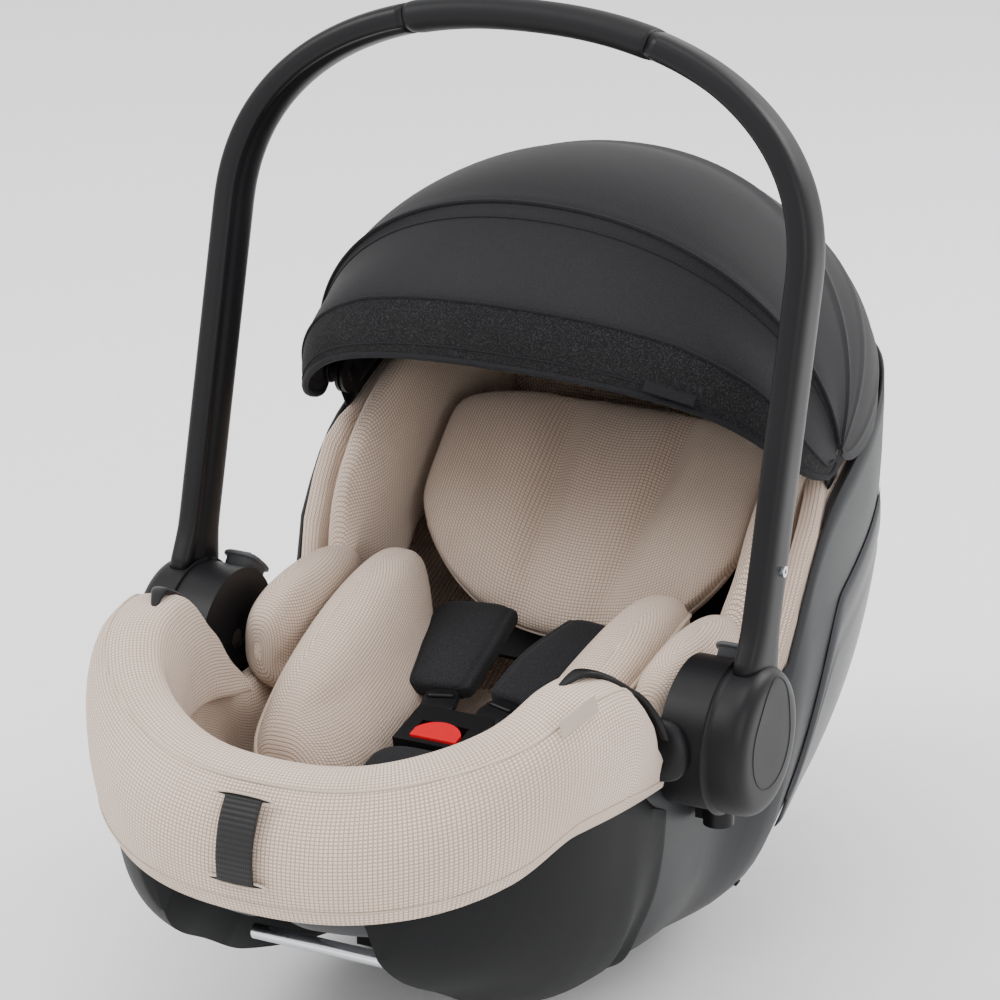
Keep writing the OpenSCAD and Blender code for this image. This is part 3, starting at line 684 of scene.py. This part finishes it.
def release_button(s, side):
    """Ribbed thumb button on top of the hub."""
    tilt = math.radians(-40)
    along_b = np.array([0, math.cos(tilt), math.sin(tilt)])
    up = np.array([0, -math.sin(tilt), math.cos(tilt)])
    c = np.array([s * 180, 14, 242.0])
    grid = []
    for h, k in ((-4, 1.0), (7.2, 1.0), (7.7, 1.12), (8.2, 1.19), (9.8, 1.19), (11.0, 1.08),
                 (11.7, 0.86), (11.9, 0.4)):
        grid.append([c + up * h + along_b * (14 * k * p[0]) + np.array([1, 0, 0]) * (11 * k * p[1])
                     for p in oval(1, 1, 3.4, 40)])
    pad = surface("button_pad_" + side, grid, around=True, caps=True)
    ribs = []
    for i in range(-3, 4):
        half = 9.4 * math.sqrt(max(0.1, 1 - (i / 4.4) ** 2))
        middle = c + up * 11.7 + along_b * (i * 3.3)
        path = [middle + [x, 0, 0] for x in np.linspace(-half, half, 7)]
        ribs.append(cord_line(f"button_rib_{side}_{i + 3}", path, 0.8, 8))
    obj = joined("button_" + side, [pad, *ribs])
    return dress(obj, BUTTON, "release_button_" + side, ["release_button_" + side])


for s, side in SIDES:
    release_button(s, side)

# ---------- belt guides and rim lips ----------


def crest_z(y):
    return rim_z(y) + along([[-285, 40], [-215, 36], [-165, 30], [-95, 34], [-70, 42]], y)


def guide(s, side):
    """Black lip along the crest that runs down into a rounded, hollowed belt hook."""
    c, u = np.array([s * 166, -72, 216.0]), np.array([s, 0.12, 0.02])
    v = np.array([0, 0.3, 0.95])
    w = np.array([s * 0.12, -0.95, 0.3])
    grid = []
    for q in np.radians(np.linspace(-88, 88, 29)):
        ring = []
        for a, b in oval(21, 20, 2.3, 48) * math.cos(q) ** 0.7:
            b -= 0.012 * a * a
            dent = 6 * math.exp(-(((a - 1) / 8) ** 2) - (((b - 1) / 11) ** 2)) if q > 0 else 0
            ring.append(c + u * a + v * b + w * (9 * math.sin(q) - dent))
        grid.append(ring)
    hook = surface("guide_" + side, grid, around=True, caps=True)
    dress(hook, BLACK, replaces=["belt_guide_" + side])
    path = smooth_path([(s * 141, -160, 284), (s * 147, -143, 289), (s * 151.5, -126, 281.5),
                        (s * 153.5, -112, 272.5), (s * 157, -99, 262.5), (s * 163, -94, 256),
                        (s * 169, -91, 248), (s * 174, -87, 238), (s * 175, -81, 227)], 6)
    m = len(path)
    size = [[min(1, 0.15 + i / 12, 0.42 + 0.58 * (m - 1 - i) / 30), 0.4 + 0.7 * min(1, i / 10, (m - 1 - i) / 8)]
            for i in range(m)]
    lip = sweep("lip_" + side, path, (1, 0, 0), oval(8, 2.6, 2.4, 24), size)
    dress(lip, BLACK, replaces=["rim_trim_" + side])


for s, side in SIDES:
    guide(s, side)

# ---------- front cover ----------

COVER_LOW = [[-285, 163], [-215, 182], [-170, 198], [-70, 190]]
COVER_END = -70.0
FRONT = [(7, 0), (12, 0.16), (13.5, 0.42), (8, 0.68), (-6, 0.9), (-22, 1), (-38, 0.98)]
FLANK = [(0, 0), (7, 0.18), (12, 0.45), (13, 0.7), (6, 0.92), (-9, 1), (-26, 0.98)]
BACK = [(-34, 0.8), (-39, 0.42), (-40, 0.2), (-32, 0.2), (-30, 0.42), (-24, 0.7), (-15, 0.84)]
UNDER_FRONT = [(-9, 0.76), (-5, 0.7), (2, 0.6), (6, 0.4), (5.4, 0.16), (5.2, 0.02)]
UNDER_FLANK = [(-6, 0.86), (2, 0.84), (4.4, 0.68), (4.4, 0.45), (3, 0.2), (2.6, 0.02)]


def foot_outline(t):
    """Point and outward direction of the foot end's outline, t from -1 (left rear) to 1 (right rear)."""
    s, f, e = (-1 if t < 0 else 1), math.radians(min(abs(t) / 0.85, 1) * 90), 2 / 2.4
    x = WAIST_W * math.sin(f) ** e
    y = -90 - (FOOT - 90) * max(0, math.cos(f)) ** e
    if abs(t) > 0.85:
        y = mix(-90, COVER_END, (abs(t) - 0.85) / 0.15)
    nx = (x / WAIST_W) ** 1.4 / WAIST_W
    ny = (max(0, -90 - y) / (FOOT - 90)) ** 1.4 / (FOOT - 90)
    k = math.hypot(nx, ny)
    return s * x, y, s * nx / k, -ny / k


def cover_section(t):
    """Closed section of the cover at t, with its top set forward towards the rear corners."""
    x, y, nx, ny = foot_outline(t)
    flank = float(ease((y + 275) / 90))
    flare = mix(1, 0.35, float(ease((y + 120) / 50)))
    section = []
    for k in range(7):
        a, b = FRONT[k], FLANK[k]
        out = b[0] * flare + 6.5 if k < 5 else b[0]
        section.append((mix(a[0], out, flank), mix(a[1], b[1], flank)))
    section += BACK
    section += [(mix(a[0], b[0], flank), mix(a[1], b[1], flank)) for a, b in zip(UNDER_FRONT, UNDER_FLANK)]
    fine = smooth_path(section, 4, closed=True)
    low, high = float(along(COVER_LOW, y)), float(crest_z(y)) + 8 * math.exp(-(((y + 120) / 32) ** 2))
    back = 32 * max(0.0, (abs(t) - 0.7) / 0.3) ** 1.5
    return [(x + nx * o, y + ny * o - back * max(h, 0) ** 1.6, mix(low, high, h) - 0.12 * back * max(h, 0) ** 4)
            for o, h in fine]


tail = np.linspace(0.85, 1, 12)[1:]
ts = np.concatenate([-tail[::-1], np.linspace(-0.85, 0.85, 110), tail])
cover_grid = np.array([cover_section(t) for t in ts])
cover = surface("cover", cover_grid, around=True, caps=True)
nv = cover_grid.shape[1]
hem_cols = [0, 1, nv - 1, nv - 2]
pins = [i * nv + j for i in range(len(ts)) for j in hem_cols + list(range(38, 52))]
pins += [i * nv + j for i in (0, 1, len(ts) - 1, len(ts) - 2) for j in range(nv)]
puff(cover, pins, pressure=3.0, cap=0.0035, last=10)
dress(cover, KNIT, replaces=["front_cover"])


def cover_line(name, col, out, r, t0=-1.0, t1=1.0, material=BEAD):
    """Bead along the cover at a fixed place in its section."""
    pick = [i for i, t in enumerate(ts) if t0 <= t <= t1]
    pts = []
    for i in pick:
        nx, ny = foot_outline(ts[i])[2:]
        pts.append(cover_grid[i][col] + np.array([nx, ny, 0]) * out)
    obj = cord_line(name, pts, r, 8)
    return dress(obj, material)


cover_line("cover_piping", 17, 0.4, 0.9, -0.96, 0.96)
cover_line("cover_hem_seam", 3, 0.5, 0.5, -0.97, 0.97)

# ---------- padded inside ----------


def padded(name, grid, replaces, pressure=4.0, cap=0.006, seams=(), body="shell", material=KNIT,
           last=14):
    """Closed cushion from rings, puffed by cloth simulation with its seam points held."""
    obj = surface(name, grid, around=True, caps=True)
    n = np.shape(grid)[1]
    count = np.shape(grid)[0]
    held = [i * n + j for i in range(count) for j in seams]
    held += [j for j in range(n)] + [(count - 1) * n + j for j in range(n)]
    held += [count * n, count * n + 1]
    puff(obj, held, pressure, cap, last)
    subdivide(obj)
    dress(obj, material, body, replaces)
    return obj


def liner_skin():
    """Knit cover of the bucket; its rolled edge lies on the shell's rim, inside the canopy's band."""
    drop = lambda y: along([[-285, 30], [-165, 38], [-95, 14], [-62, 1], [350, 0]], y)
    edge = lambda y: along([[-62, 12], [-40, 3], [138, 3], [160, 10], [350, 10]], y)
    rows = [hull_loop(a, 16.2, drop, 120) for a in np.linspace(84, 6, 18)]
    for a, inset, extra, lift in ((1.5, 12, 0, 2.4), (0, 13, 2, 4.4), (0, 16, 8, 5.4), (0, 20, 15, 4.0)):
        row = hull_loop(a, inset, drop, 120, lambda y: edge(y) + extra)
        row[:, 2] += lift * (1 - 0.8 * ease((row[:, 1] - 135) / 30))
        rows.append(row)
    rows += [hull_loop(a, 25.2, drop, 120) for a in np.linspace(3, 84, 22)]
    obj = surface("liner_skin", rows, around=True, caps=True)
    dress(obj, KNIT, replaces=["seat_liner"])


def wing(s, side):
    """Tall padded wing beside the head, which also closes the notch above the hub."""
    grid, n = [], 44
    for i in range(41):
        q = i / 40
        y = mix(72, 296, q)
        low = float(along([[72, 186], [110, 186], [200, 226], [296, 272]], y))
        top = float(along([[72, 228], [84, 252], [104, 290], [140, 326], [200, 350], [260, 352], [296, 348]],
                          y))
        x = float(half_width(y)) - WALL - 33
        r = math.sin(math.radians(mix(12, 168, q)))
        ring = loop((s * x, y, (top + low) / 2), (0, 0, 1), (s, 0, 0), (top - low) / 2 * r**0.3, 15 * r**0.45,
                    2.8, n)
        ring[:, 0] -= s * (7 + 7 * float(ease((200 - y) / 60))) * ease((low + 40 - ring[:, 2]) / 60)
        grid.append(ring)
    padded("wing_pad_" + side, grid, ["wing_" + side], 4, 0.006, seams=[0, n - 1])
    seam = [np.array(g[n // 2 + 6]) - [s * 0.3, 0, 0] for g in grid[3:-3]]
    dress(cord_line("wing_seam_" + side, smooth_path(seam, 2), 0.9, 8), BEAD)


def bolster(s, side):
    """Padded roll inside the hub, hanging a little into the bucket."""
    grid = []
    for i in range(33):
        t = math.radians(mix(-89.7, 89.7, i / 32))
        k, q = math.cos(t), math.sin(t)
        c = (s * 141, 30 + 64 * q, 213 + 3 * q)
        ring = loop(c, (0, 0, 1), (s, 0, 0), 38 * k**0.42, 19 * k**0.45, 2.7, 40)
        ring[:, 0] -= s * 9 * ease((205 - ring[:, 2]) / 30)
        grid.append(ring)
    padded("bolster_pad_" + side, grid, ["bolster_" + side], 4, 0.004, seams=[8, 9])


def insert(s, side):
    """Thick wedge beside the hips, with a piped seam along its outer edge."""
    grid = []
    count = 37
    for i in range(count):
        t = math.radians(mix(-89.7, 89.7, i / (count - 1)))
        q, k = math.sin(t), math.cos(t)
        c = (s * (88 + 4 * q), -8 + 106 * q, 181 + 31 * q)
        ring = loop(c, (0, 0, 1), (s, 0, 0), 55 * k**0.36, 28 * k**0.4, 3.0, 44)
        ring[:, 0] += s * 6 * ease((ring[:, 2] - 190) / 50)
        inner = s * ring[:, 0] < 88 + 4 * q
        ring[:, 0] -= s * 26 * k**0.5 * inner * ease((206 - ring[:, 2]) / 46)
        grid.append(ring)
    seam = 6
    obj = padded("insert_pad_" + side, grid, ["insert_" + side], 4, 0.006, seams=[seam])
    pts = [np.array(g[seam]) + [0, 0, 0.4] for g in grid[2:-2]]
    dress(cord_line("insert_piping_" + side, smooth_path(pts, 3), 1.7, 8), BEAD)
    return obj


def base_pad():
    grid = []
    tilt = math.radians(8)
    ahead, up = (0, math.cos(tilt), math.sin(tilt)), (0, -math.sin(tilt), math.cos(tilt))
    for i in range(21):
        t = math.radians(mix(-86, 86, i / 20))
        k, q = math.cos(t) ** 0.62, math.copysign(abs(math.sin(t)) ** 0.62, math.sin(t))
        grid.append(loop((56 * q, -8, 140), ahead, up, 96 * mix(0.25, 1, k), 20 * k, 3.2, 48))
    padded("base_pad", grid, ["insert_base"], 3, 0.005, seams=[0, 23])


def headrest():
    """Butterfly headrest: swept-forward ears, and a middle panel between two soft folds."""
    tilt = math.radians(45)
    ahead, up = np.array([0, math.cos(tilt), math.sin(tilt)]), np.array([0, -math.sin(tilt), math.cos(tilt)])
    c = np.array([0, 197, 247.0])
    grid, n, count = [], 72, 61
    for i in range(count):
        t = math.radians(mix(-87, 87, i / (count - 1)))
        k = math.cos(t) ** (2 / 3)
        x = 121 * math.copysign(abs(math.sin(t)) ** (2 / 3), math.sin(t))
        q = abs(x) / 121
        low = -88 + 40 * q**2.6
        high = 90 - 16 * q**3
        half, mid = (high - low) / 2 * mix(0.3, 1, k**0.8), (high + low) / 2 + 6 * q**4
        pts = []
        for p in oval(1, 1, 3.0, n):
            a, b = mid + half * p[0], 22 * k * p[1]
            if p[1] > 0:
                fold = 15 * math.exp(-(((abs(x) - 37 - 9 * p[0]) / 11) ** 2)) * (1 - 0.5 * max(0, -p[0]))
                b -= fold * p[1]
            pts.append(c + np.array([x, 0, 0]) + ahead * a + up * (b + 34 * (x / 120) ** 2))
        grid.append(pts)
    obj = padded("headrest_pad", grid, ["headrest_cushion"], 4, 0.006, seams=[0, n - 1, n // 2, n // 2 - 1],
                 body="headrest")
    pts = [np.array(g[n // 2]) + up * 1.0 for g in grid[8:-8]]
    dress(cord_line("headrest_hem", smooth_path(pts, 2), 1.1, 8), BEAD, "headrest")
    return obj


liner_skin()
for s, side in SIDES:
    wing(s, side)
    bolster(s, side)
    insert(s, side)
base_pad()
headrest()

# ---------- harness ----------


def crotch_pad():
    tilt = math.radians(16)
    ahead, up = (0, math.cos(tilt), math.sin(tilt)), (0, -math.sin(tilt), math.cos(tilt))
    grid = []
    for i in range(25):
        t = math.radians(mix(-87, 87, i / 24))
        k, q = math.cos(t) ** 0.6, math.copysign(abs(math.sin(t)) ** 0.6, math.sin(t))
        grid.append(loop((35 * q, -98, 163), ahead, up, 42 * mix(0.4, 1, k), 6.5 * k, 3.4, 40))
    padded("crotch_pad_soft", grid, ["crotch_pad"], 3, 0.002, seams=[0, 19, 20, 39], material=PAD,
           last=8)


def shoulder_pad(s, side):
    """Padded sleeve: broad and rounded at the shoulder, narrower at the buckle, with a stitched border."""
    path = smooth_path([(s * 29, 8, 187), (s * 34, 42, 198), (s * 41, 72, 204), (s * 47, 104, 208)], 9)
    n = len(path)
    size = []
    for i in range(n):
        q = i / (n - 1)
        end = min(1, q / 0.06 + 0.45, (1 - q) / 0.1 + 0.35) ** 0.5
        size.append([mix(0.86, 1.06, float(ease(q * 1.6))) * min(1, end),
                     mix(0.7, 1, min(1, q / 0.08, (1 - q) / 0.08))])
    o = oval(27, 8.6, 3.2, 44)
    o[:, 1] -= 1.4 * np.exp(-(((np.abs(o[:, 0]) - 22) / 1.2) ** 2)) * np.sign(o[:, 1])
    obj = sweep("strap_pad_" + side, path, (1, 0, 0), o, size)
    subdivide(obj)
    dress(obj, PAD, replaces=["shoulder_pad_" + side])


def tongues():
    """Flat plastic tongues with the webbing looped through them."""
    parts = []
    for s, side in SIDES:
        turn = Matrix.Rotation(math.radians(-14 * s), 4, "Z")
        tilt = Matrix.Rotation(math.radians(14), 4, "X")
        place = Matrix.Translation(Vector(world((s * 18, -16, 183)))) @ tilt @ turn
        grid = []
        for z, k in ((-2, 0.9), (-1.6, 1.0), (1.6, 1.0), (2, 0.9)):
            grid.append([(12 * k * p[0], 12.5 + 12.5 * k * p[1] + SHIFT, z) for p in oval(1, 1, 3.6, 40)])
        plate = surface("tongue_plate_" + side, grid, around=True, caps=True)
        plate.data.transform(place)
        bar = cord_line("tongue_bar_" + side, [(x, 16 + SHIFT, 2.4) for x in np.linspace(-9, 9, 8)], 1.8, 12)
        bar.data.transform(place)
        parts += [plate, bar]
    dress(joined("tongues", parts), BLACK, replaces=["buckle_tongues"])


def harness_tails():
    parts = []
    for s, side in SIDES:
        path = smooth_path([(s * 46, 98.5, 205), (s * 47, 104, 202), (s * 47, 108, 195)], 6)
        parts.append(sweep("tail_" + side, path, (1, 0, 0), oval(12.5, 1.2, 5, 24)))
    dress(joined("harness_tails", parts), STRAP, replaces=["harness_straps"])


def adjuster():
    """Webbing that comes out of a stitched slot in the cover and goes back in lower down."""
    y = lambda z: float(along([[186, -302.6], [200, -303.6], [216, -301.2], [228, -296.5], [236, -290.5]], z))
    path = [(0, y(z), z) for z in np.linspace(237, 187, 24)]
    strap = sweep("adjuster", path, (1, 0, 0), oval(12.4, 1.2, 5, 32))
    dress(strap, STRAP, replaces=["adjuster_strap"])
    for name, z, half in (("slot_upper", 236.5, 20), ("slot_lower", 186.5, 20)):
        pts = [(half * math.cos(q), y(z) + 1.2, z + 1.9 * math.sin(q))
               for q in np.linspace(0, 2 * math.pi, 41)[:-1]]
        dress(cord_line(name, pts, 0.8, 8, closed=True), BEAD)
        # painted shade: a black bead lies along the opening of each slot, standing for the shade where the
        # webbing goes in
        pts = [(x, y(z) + 1.9, z) for x in np.linspace(-half + 2, half - 2, 12)]
        dress(cord_line(name + "_gap", pts, 1.3, 8), BLACK_SOFT)


crotch_pad()
for s, side in SIDES:
    shoulder_pad(s, side)
tongues()
harness_tails()
adjuster()

# ---------- canopy ----------

REACHES = [[0, 190], [22, 196], [55, 189], [80, 176], [105, 166], [132, 150], [149, 122]]


def side_width(a):
    """Half width of the fabric over the pivots: each panel a little inside the one behind it."""
    return float(along([[0, 192.2], [56, 192.1], [64, 191.2], [104, 191.1], [111, 190.4], [150, 190.2]], a))


def canopy_point(a, t, inset=0.0, out=0.0):
    """Point of the canopy's cloth at angle a about the pivots (0 head end, 90 up) and side angle t.
    Towards the pivots the front's edge wraps down ahead of them, and the rear's behind them."""
    e = 2 / (mix(2.6, 2.1, float(ease((a - 20) / 40))) + 0.35 * float(ease((a - 115) / 30)))
    low = (1 - math.sin(math.radians(t))) ** 2
    r = (float(along(REACHES, a)) - inset + out) * math.sin(math.radians(t)) ** e
    c = math.cos(math.radians(t))
    x = (side_width(a) + 0.75 * out) * math.copysign(abs(c) ** e, c)
    ahead = float(along([[3, 118], [14, 92], [26, 55], [44, 31], [62, 17], [90, 5], [120, 0]], r))
    behind = 30 * low + 30 * low**6
    q = math.radians(a + ahead * float(ease((a - 112) / 36)) - behind * float(ease((50 - a) / 38)))
    return np.array([x, CANOPY_Y + r * math.cos(q), CANOPY_Z + r * math.sin(q)])


def inset_at(a):
    """The CAD's panels nest inside one another; the fabric runs on smoothly between them."""
    return float(along([[0, 0], [56, 0.2], [64, 3], [104, 3.2], [111, 7.5], [150, 7.5]], a))


def ridge(a):
    """Fabric stands proud over each bow and dips a little between them."""
    bows = (22, 40.5, 59, 107)
    up = sum(w * math.exp(-(((a - b) / 1.7) ** 2)) for b, w in zip(bows, (1.2, 1.2, 1.6, 1.8)))
    bays = ((59, 48, 1.0), (107, 28, 0.8))
    return up - sum(w * math.sin(math.pi * np.clip((a - b) / span, 0, 1)) ** 2 for b, span, w in bays)


def side_angles(t0, n):
    """Side angles from t0 to 180 - t0, closer together towards both pivots."""
    return 90 + (90 - t0) * np.sin(np.linspace(-math.pi / 2, math.pi / 2, n))


def canopy_panel(name, a0, a1, steps, t0, replaces, material):
    """One continuous curved sheet between two angles, two layers with bound edges."""
    outer, inner = [], []
    tt = side_angles(t0, 97)
    for a in np.linspace(a0, a1, steps):
        outer.append([canopy_point(a, t, inset_at(a), ridge(a)) for t in tt])
        inner.append([canopy_point(a, t, inset_at(a), ridge(a) - 1.6) for t in tt[::-1]])
    grid = [list(o) + list(i) for o, i in zip(outer, inner)]
    obj = surface(name, grid, around=True, caps=False)
    close_ends(obj, len(grid), 2 * len(tt))
    outwards(obj)
    dress(obj, material, None, replaces)
    return obj


def close_ends(obj, count, n):
    """Closes the two ends of a thin band by joining opposite points."""
    m = obj.data
    b = bmesh.new()
    b.from_mesh(m)
    b.verts.ensure_lookup_table()
    for base in (0, (count - 1) * n):
        for j in range(n // 2 - 1):
            quad = [b.verts[base + q] for q in (j, j + 1, n - 2 - j, n - 1 - j)]
            try:
                b.faces.new(quad)
            except ValueError:
                pass
    bmesh.ops.recalc_face_normals(b, faces=b.faces)
    b.to_mesh(m)
    b.free()
    m.polygons.foreach_set("use_smooth", [True] * len(m.polygons))
    m.set_sharp_from_angle(angle=math.radians(50))


def crown(a):
    """Middle of the canopy at angle a, in the row frame."""
    return tuple(world(canopy_point(a, 90)))


rear = canopy_panel("canopy_rear", 9, 59, 40, 0.5, ["canopy_rear_panel"], CANOPY)
mid = canopy_panel("canopy_middle", 59, 107, 40, 0.5, ["canopy_mid_panel"], CANOPY)
front = canopy_panel("canopy_front", 107, 135, 26, 0.5, ["canopy_front_panel"], CANOPY)
visor = canopy_panel("canopy_band", 135, 148.6, 16, 0.5, ["canopy_visor"], VISOR)
crown(14)
crown(57)
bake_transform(rear)
crown(62)
crown(105)
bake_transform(mid)
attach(front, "canopy_front")
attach(visor, "canopy_front")


def arc_line(name, a, r, material, body, out=1.0):
    """Welt, stitch line or hem along the cloth at angle a."""
    pts = [canopy_point(a, t, inset_at(a), ridge(a) + out) for t in side_angles(2.0, 140)]
    obj = cord_line(name, pts, r, 8)
    return dress(obj, material, body)


arc_line("welt_front", 107.6, 1.3, HEM, "canopy_front", 0.9)
arc_line("welt_front_seam", 111.2, 0.5, HEM, "canopy_front", 0.3)
arc_line("welt_visor", 135.0, 1.1, HEM, "canopy_front", 0.5)
arc_line("visor_stitch", 146.2, 0.55, HEM, "canopy_front", 0.4)
arc_line("visor_hem", 148.9, 2.4, HEM, "canopy_front", -0.8)


def pivots():
    """Small round pivots on short brackets, tucked behind the fabric."""
    parts = []
    for s, side in SIDES:
        grid = []
        for x, r in ((170, 5.9), (183.6, 5.9), (184.2, 8), (185, 9), (187, 9), (187.8, 8), (188.2, 3)):
            grid.append([(s * x, CANOPY_Y + r * math.cos(q), CANOPY_Z + r * math.sin(q))
                         for q in np.linspace(0, 2 * math.pi, 49)[:-1]])
        parts.append(surface("pivot_disc_" + side, grid, around=True, caps=True))
        path = [(s * mix(182.2, 180, q), CANOPY_Y + 2 + 16 * q, CANOPY_Z + 4 - 32 * q)
                for q in np.linspace(0, 1, 9)]
        parts.append(sweep("pivot_arm_" + side, path, (0, 1, 0), oval(8, 1.2, 3, 24)))
    dress(joined("pivots", parts), BLACK, replaces=["canopy_pivots"])


pivots()


def skirt():
    """Upright band between the shell's rim and the canopy's lower edge."""
    inset = 6.0
    mid_y, half = (HEAD - FOOT) / 2, (HEAD + FOOT) / 2 - inset - 0.6
    begin = math.acos((mid_y - 164) / half)
    grid = []
    for t in np.linspace(begin, 2 * math.pi - begin, 121):
        s = 1 if t < math.pi else -1
        y = mid_y - half * math.cos(t)
        w = max(2, float(half_width(y + 2)) - inset)
        turn = math.radians(90 * np.clip((y - 200) / (HEAD - inset - 200), 0, 1) ** 2)
        inward = np.array([-s * math.cos(turn), -math.sin(turn), 0]) * 2.0
        low = float(rim_z(y)) + 0.8
        top = max(low + 2, CANOPY_Z + (y - CANOPY_Y) * math.tan(math.radians(12)) + 1.5)
        col = [np.array([s * w, y, mix(low, top, q)]) for q in np.linspace(0, 1, 5)]
        grid.append(col + [p + inward for p in col[::-1]])
    obj = surface("skirt", grid, around=True, caps=True)
    dress(obj, CANOPY, replaces=["canopy_skirt"])


skirt()


def tag(name, centre, along_dir, normal, size, material, body):
    """Small blank woven label, folded at its edge."""
    d = np.array(along_dir, float)
    d /= np.linalg.norm(d)
    nrm = np.array(normal, float)
    nrm -= d * (nrm @ d)
    nrm /= np.linalg.norm(nrm)
    up = np.cross(nrm, d)
    grid = []
    for i in range(12):
        q = i / 11 * 2 - 1
        c = np.array(centre, float) + d * size[0] / 2 * q
        grid.append([c + up * size[1] / 2 * p[0] + nrm * 0.7 * p[1] for p in oval(1, 1, 5, 20)])
    obj = surface(name, grid, around=True, caps=True)
    bevel(obj, 0.0002)
    return dress(obj, material, body)


i_tag = int(np.argmin(abs(ts - 0.632)))
row = cover_grid[i_tag]
direction = cover_grid[i_tag + 3][17] - cover_grid[i_tag - 3][17]
nx, ny = foot_outline(ts[i_tag])[2:]
tag("cover_tag", row[16] + [nx * 3, ny * 3, 5], direction, (nx, ny, 0.05), (31, 12), TAG, "shell")
pa, pb = canopy_point(146.6, 62, 7.5, 2.2), canopy_point(146.6, 56, 7.5, 2.2)
mid_p, out_dir = (pa + pb) / 2, canopy_point(146.6, 59, 7.5, 12) - canopy_point(146.6, 59, 7.5, 2)
tag("visor_tag", mid_p, pb - pa, out_dir, (34, 9), HEM, "canopy_front")

# ---------- stage ----------


def stage():
    mesh = bpy.data.meshes.new("floor")
    mesh.from_pydata([(-6, -6, 0), (6, -6, 0), (6, 6, 0), (-6, 6, 0)], [], [(0, 1, 2, 3)])
    floor = bpy.data.objects.new("floor", mesh)
    scene.collection.objects.link(floor)
    n = Nodes("floor_pale")
    fine = n.noise(60, 2)
    n.shade(Base_Color=n.blend(fine, (0.86, 0.86, 0.86), (0.9, 0.9, 0.9)), Roughness=0.9)
    mesh.materials.append(n.mat)
    world_data = bpy.data.worlds.new("studio")
    world_data.use_nodes = True
    world_data.node_tree.nodes["Background"].inputs[0].default_value = (1, 1, 1, 1)
    world_data.node_tree.nodes["Background"].inputs[1].default_value = 1.35
    scene.world = world_data
    for name, place, size, power in (
        ("key", (-1.9, -1.5, 2.6), 1.6, 70), ("fill", (2.4, -1.2, 1.5), 1.8, 22),
        ("rim", (1.2, 2.0, 1.9), 1.4, 36), ("top", (0.0, -0.2, 3.2), 2.0, 34),
    ):
        light = bpy.data.lights.new(name, "AREA")
        light.shape, light.size, light.energy = "DISK", size, power
        lamp = bpy.data.objects.new(name, light)
        lamp.location = place
        lamp.rotation_mode = "QUATERNION"
        lamp.rotation_quaternion = (Vector((0, 0, 0.3)) - Vector(place)).to_track_quat("-Z", "Y")
        scene.collection.objects.link(lamp)


def camera():
    """Three-quarter view from in front, to the right and above, with a long lens."""
    data = bpy.data.cameras.new("camera")
    data.lens, data.sensor_width = 144, 36
    cam = bpy.data.objects.new("camera", data)
    turn, rise = math.radians(27.04117), math.radians(20)
    back = Vector((math.sin(turn) * math.cos(rise), -math.cos(turn) * math.cos(rise), math.sin(rise)))
    right = Vector((math.cos(turn), math.sin(turn), 0))
    up = back.cross(right)
    cam.location = Vector((1.1106, -2.1601 + (25.0 - SHIFT) / 1000, 1.2045))
    cam.matrix_world = Matrix.Translation(cam.location) @ Matrix((right, up, back)).transposed().to_4x4()
    scene.collection.objects.link(cam)
    scene.camera = cam


stage()
camera()
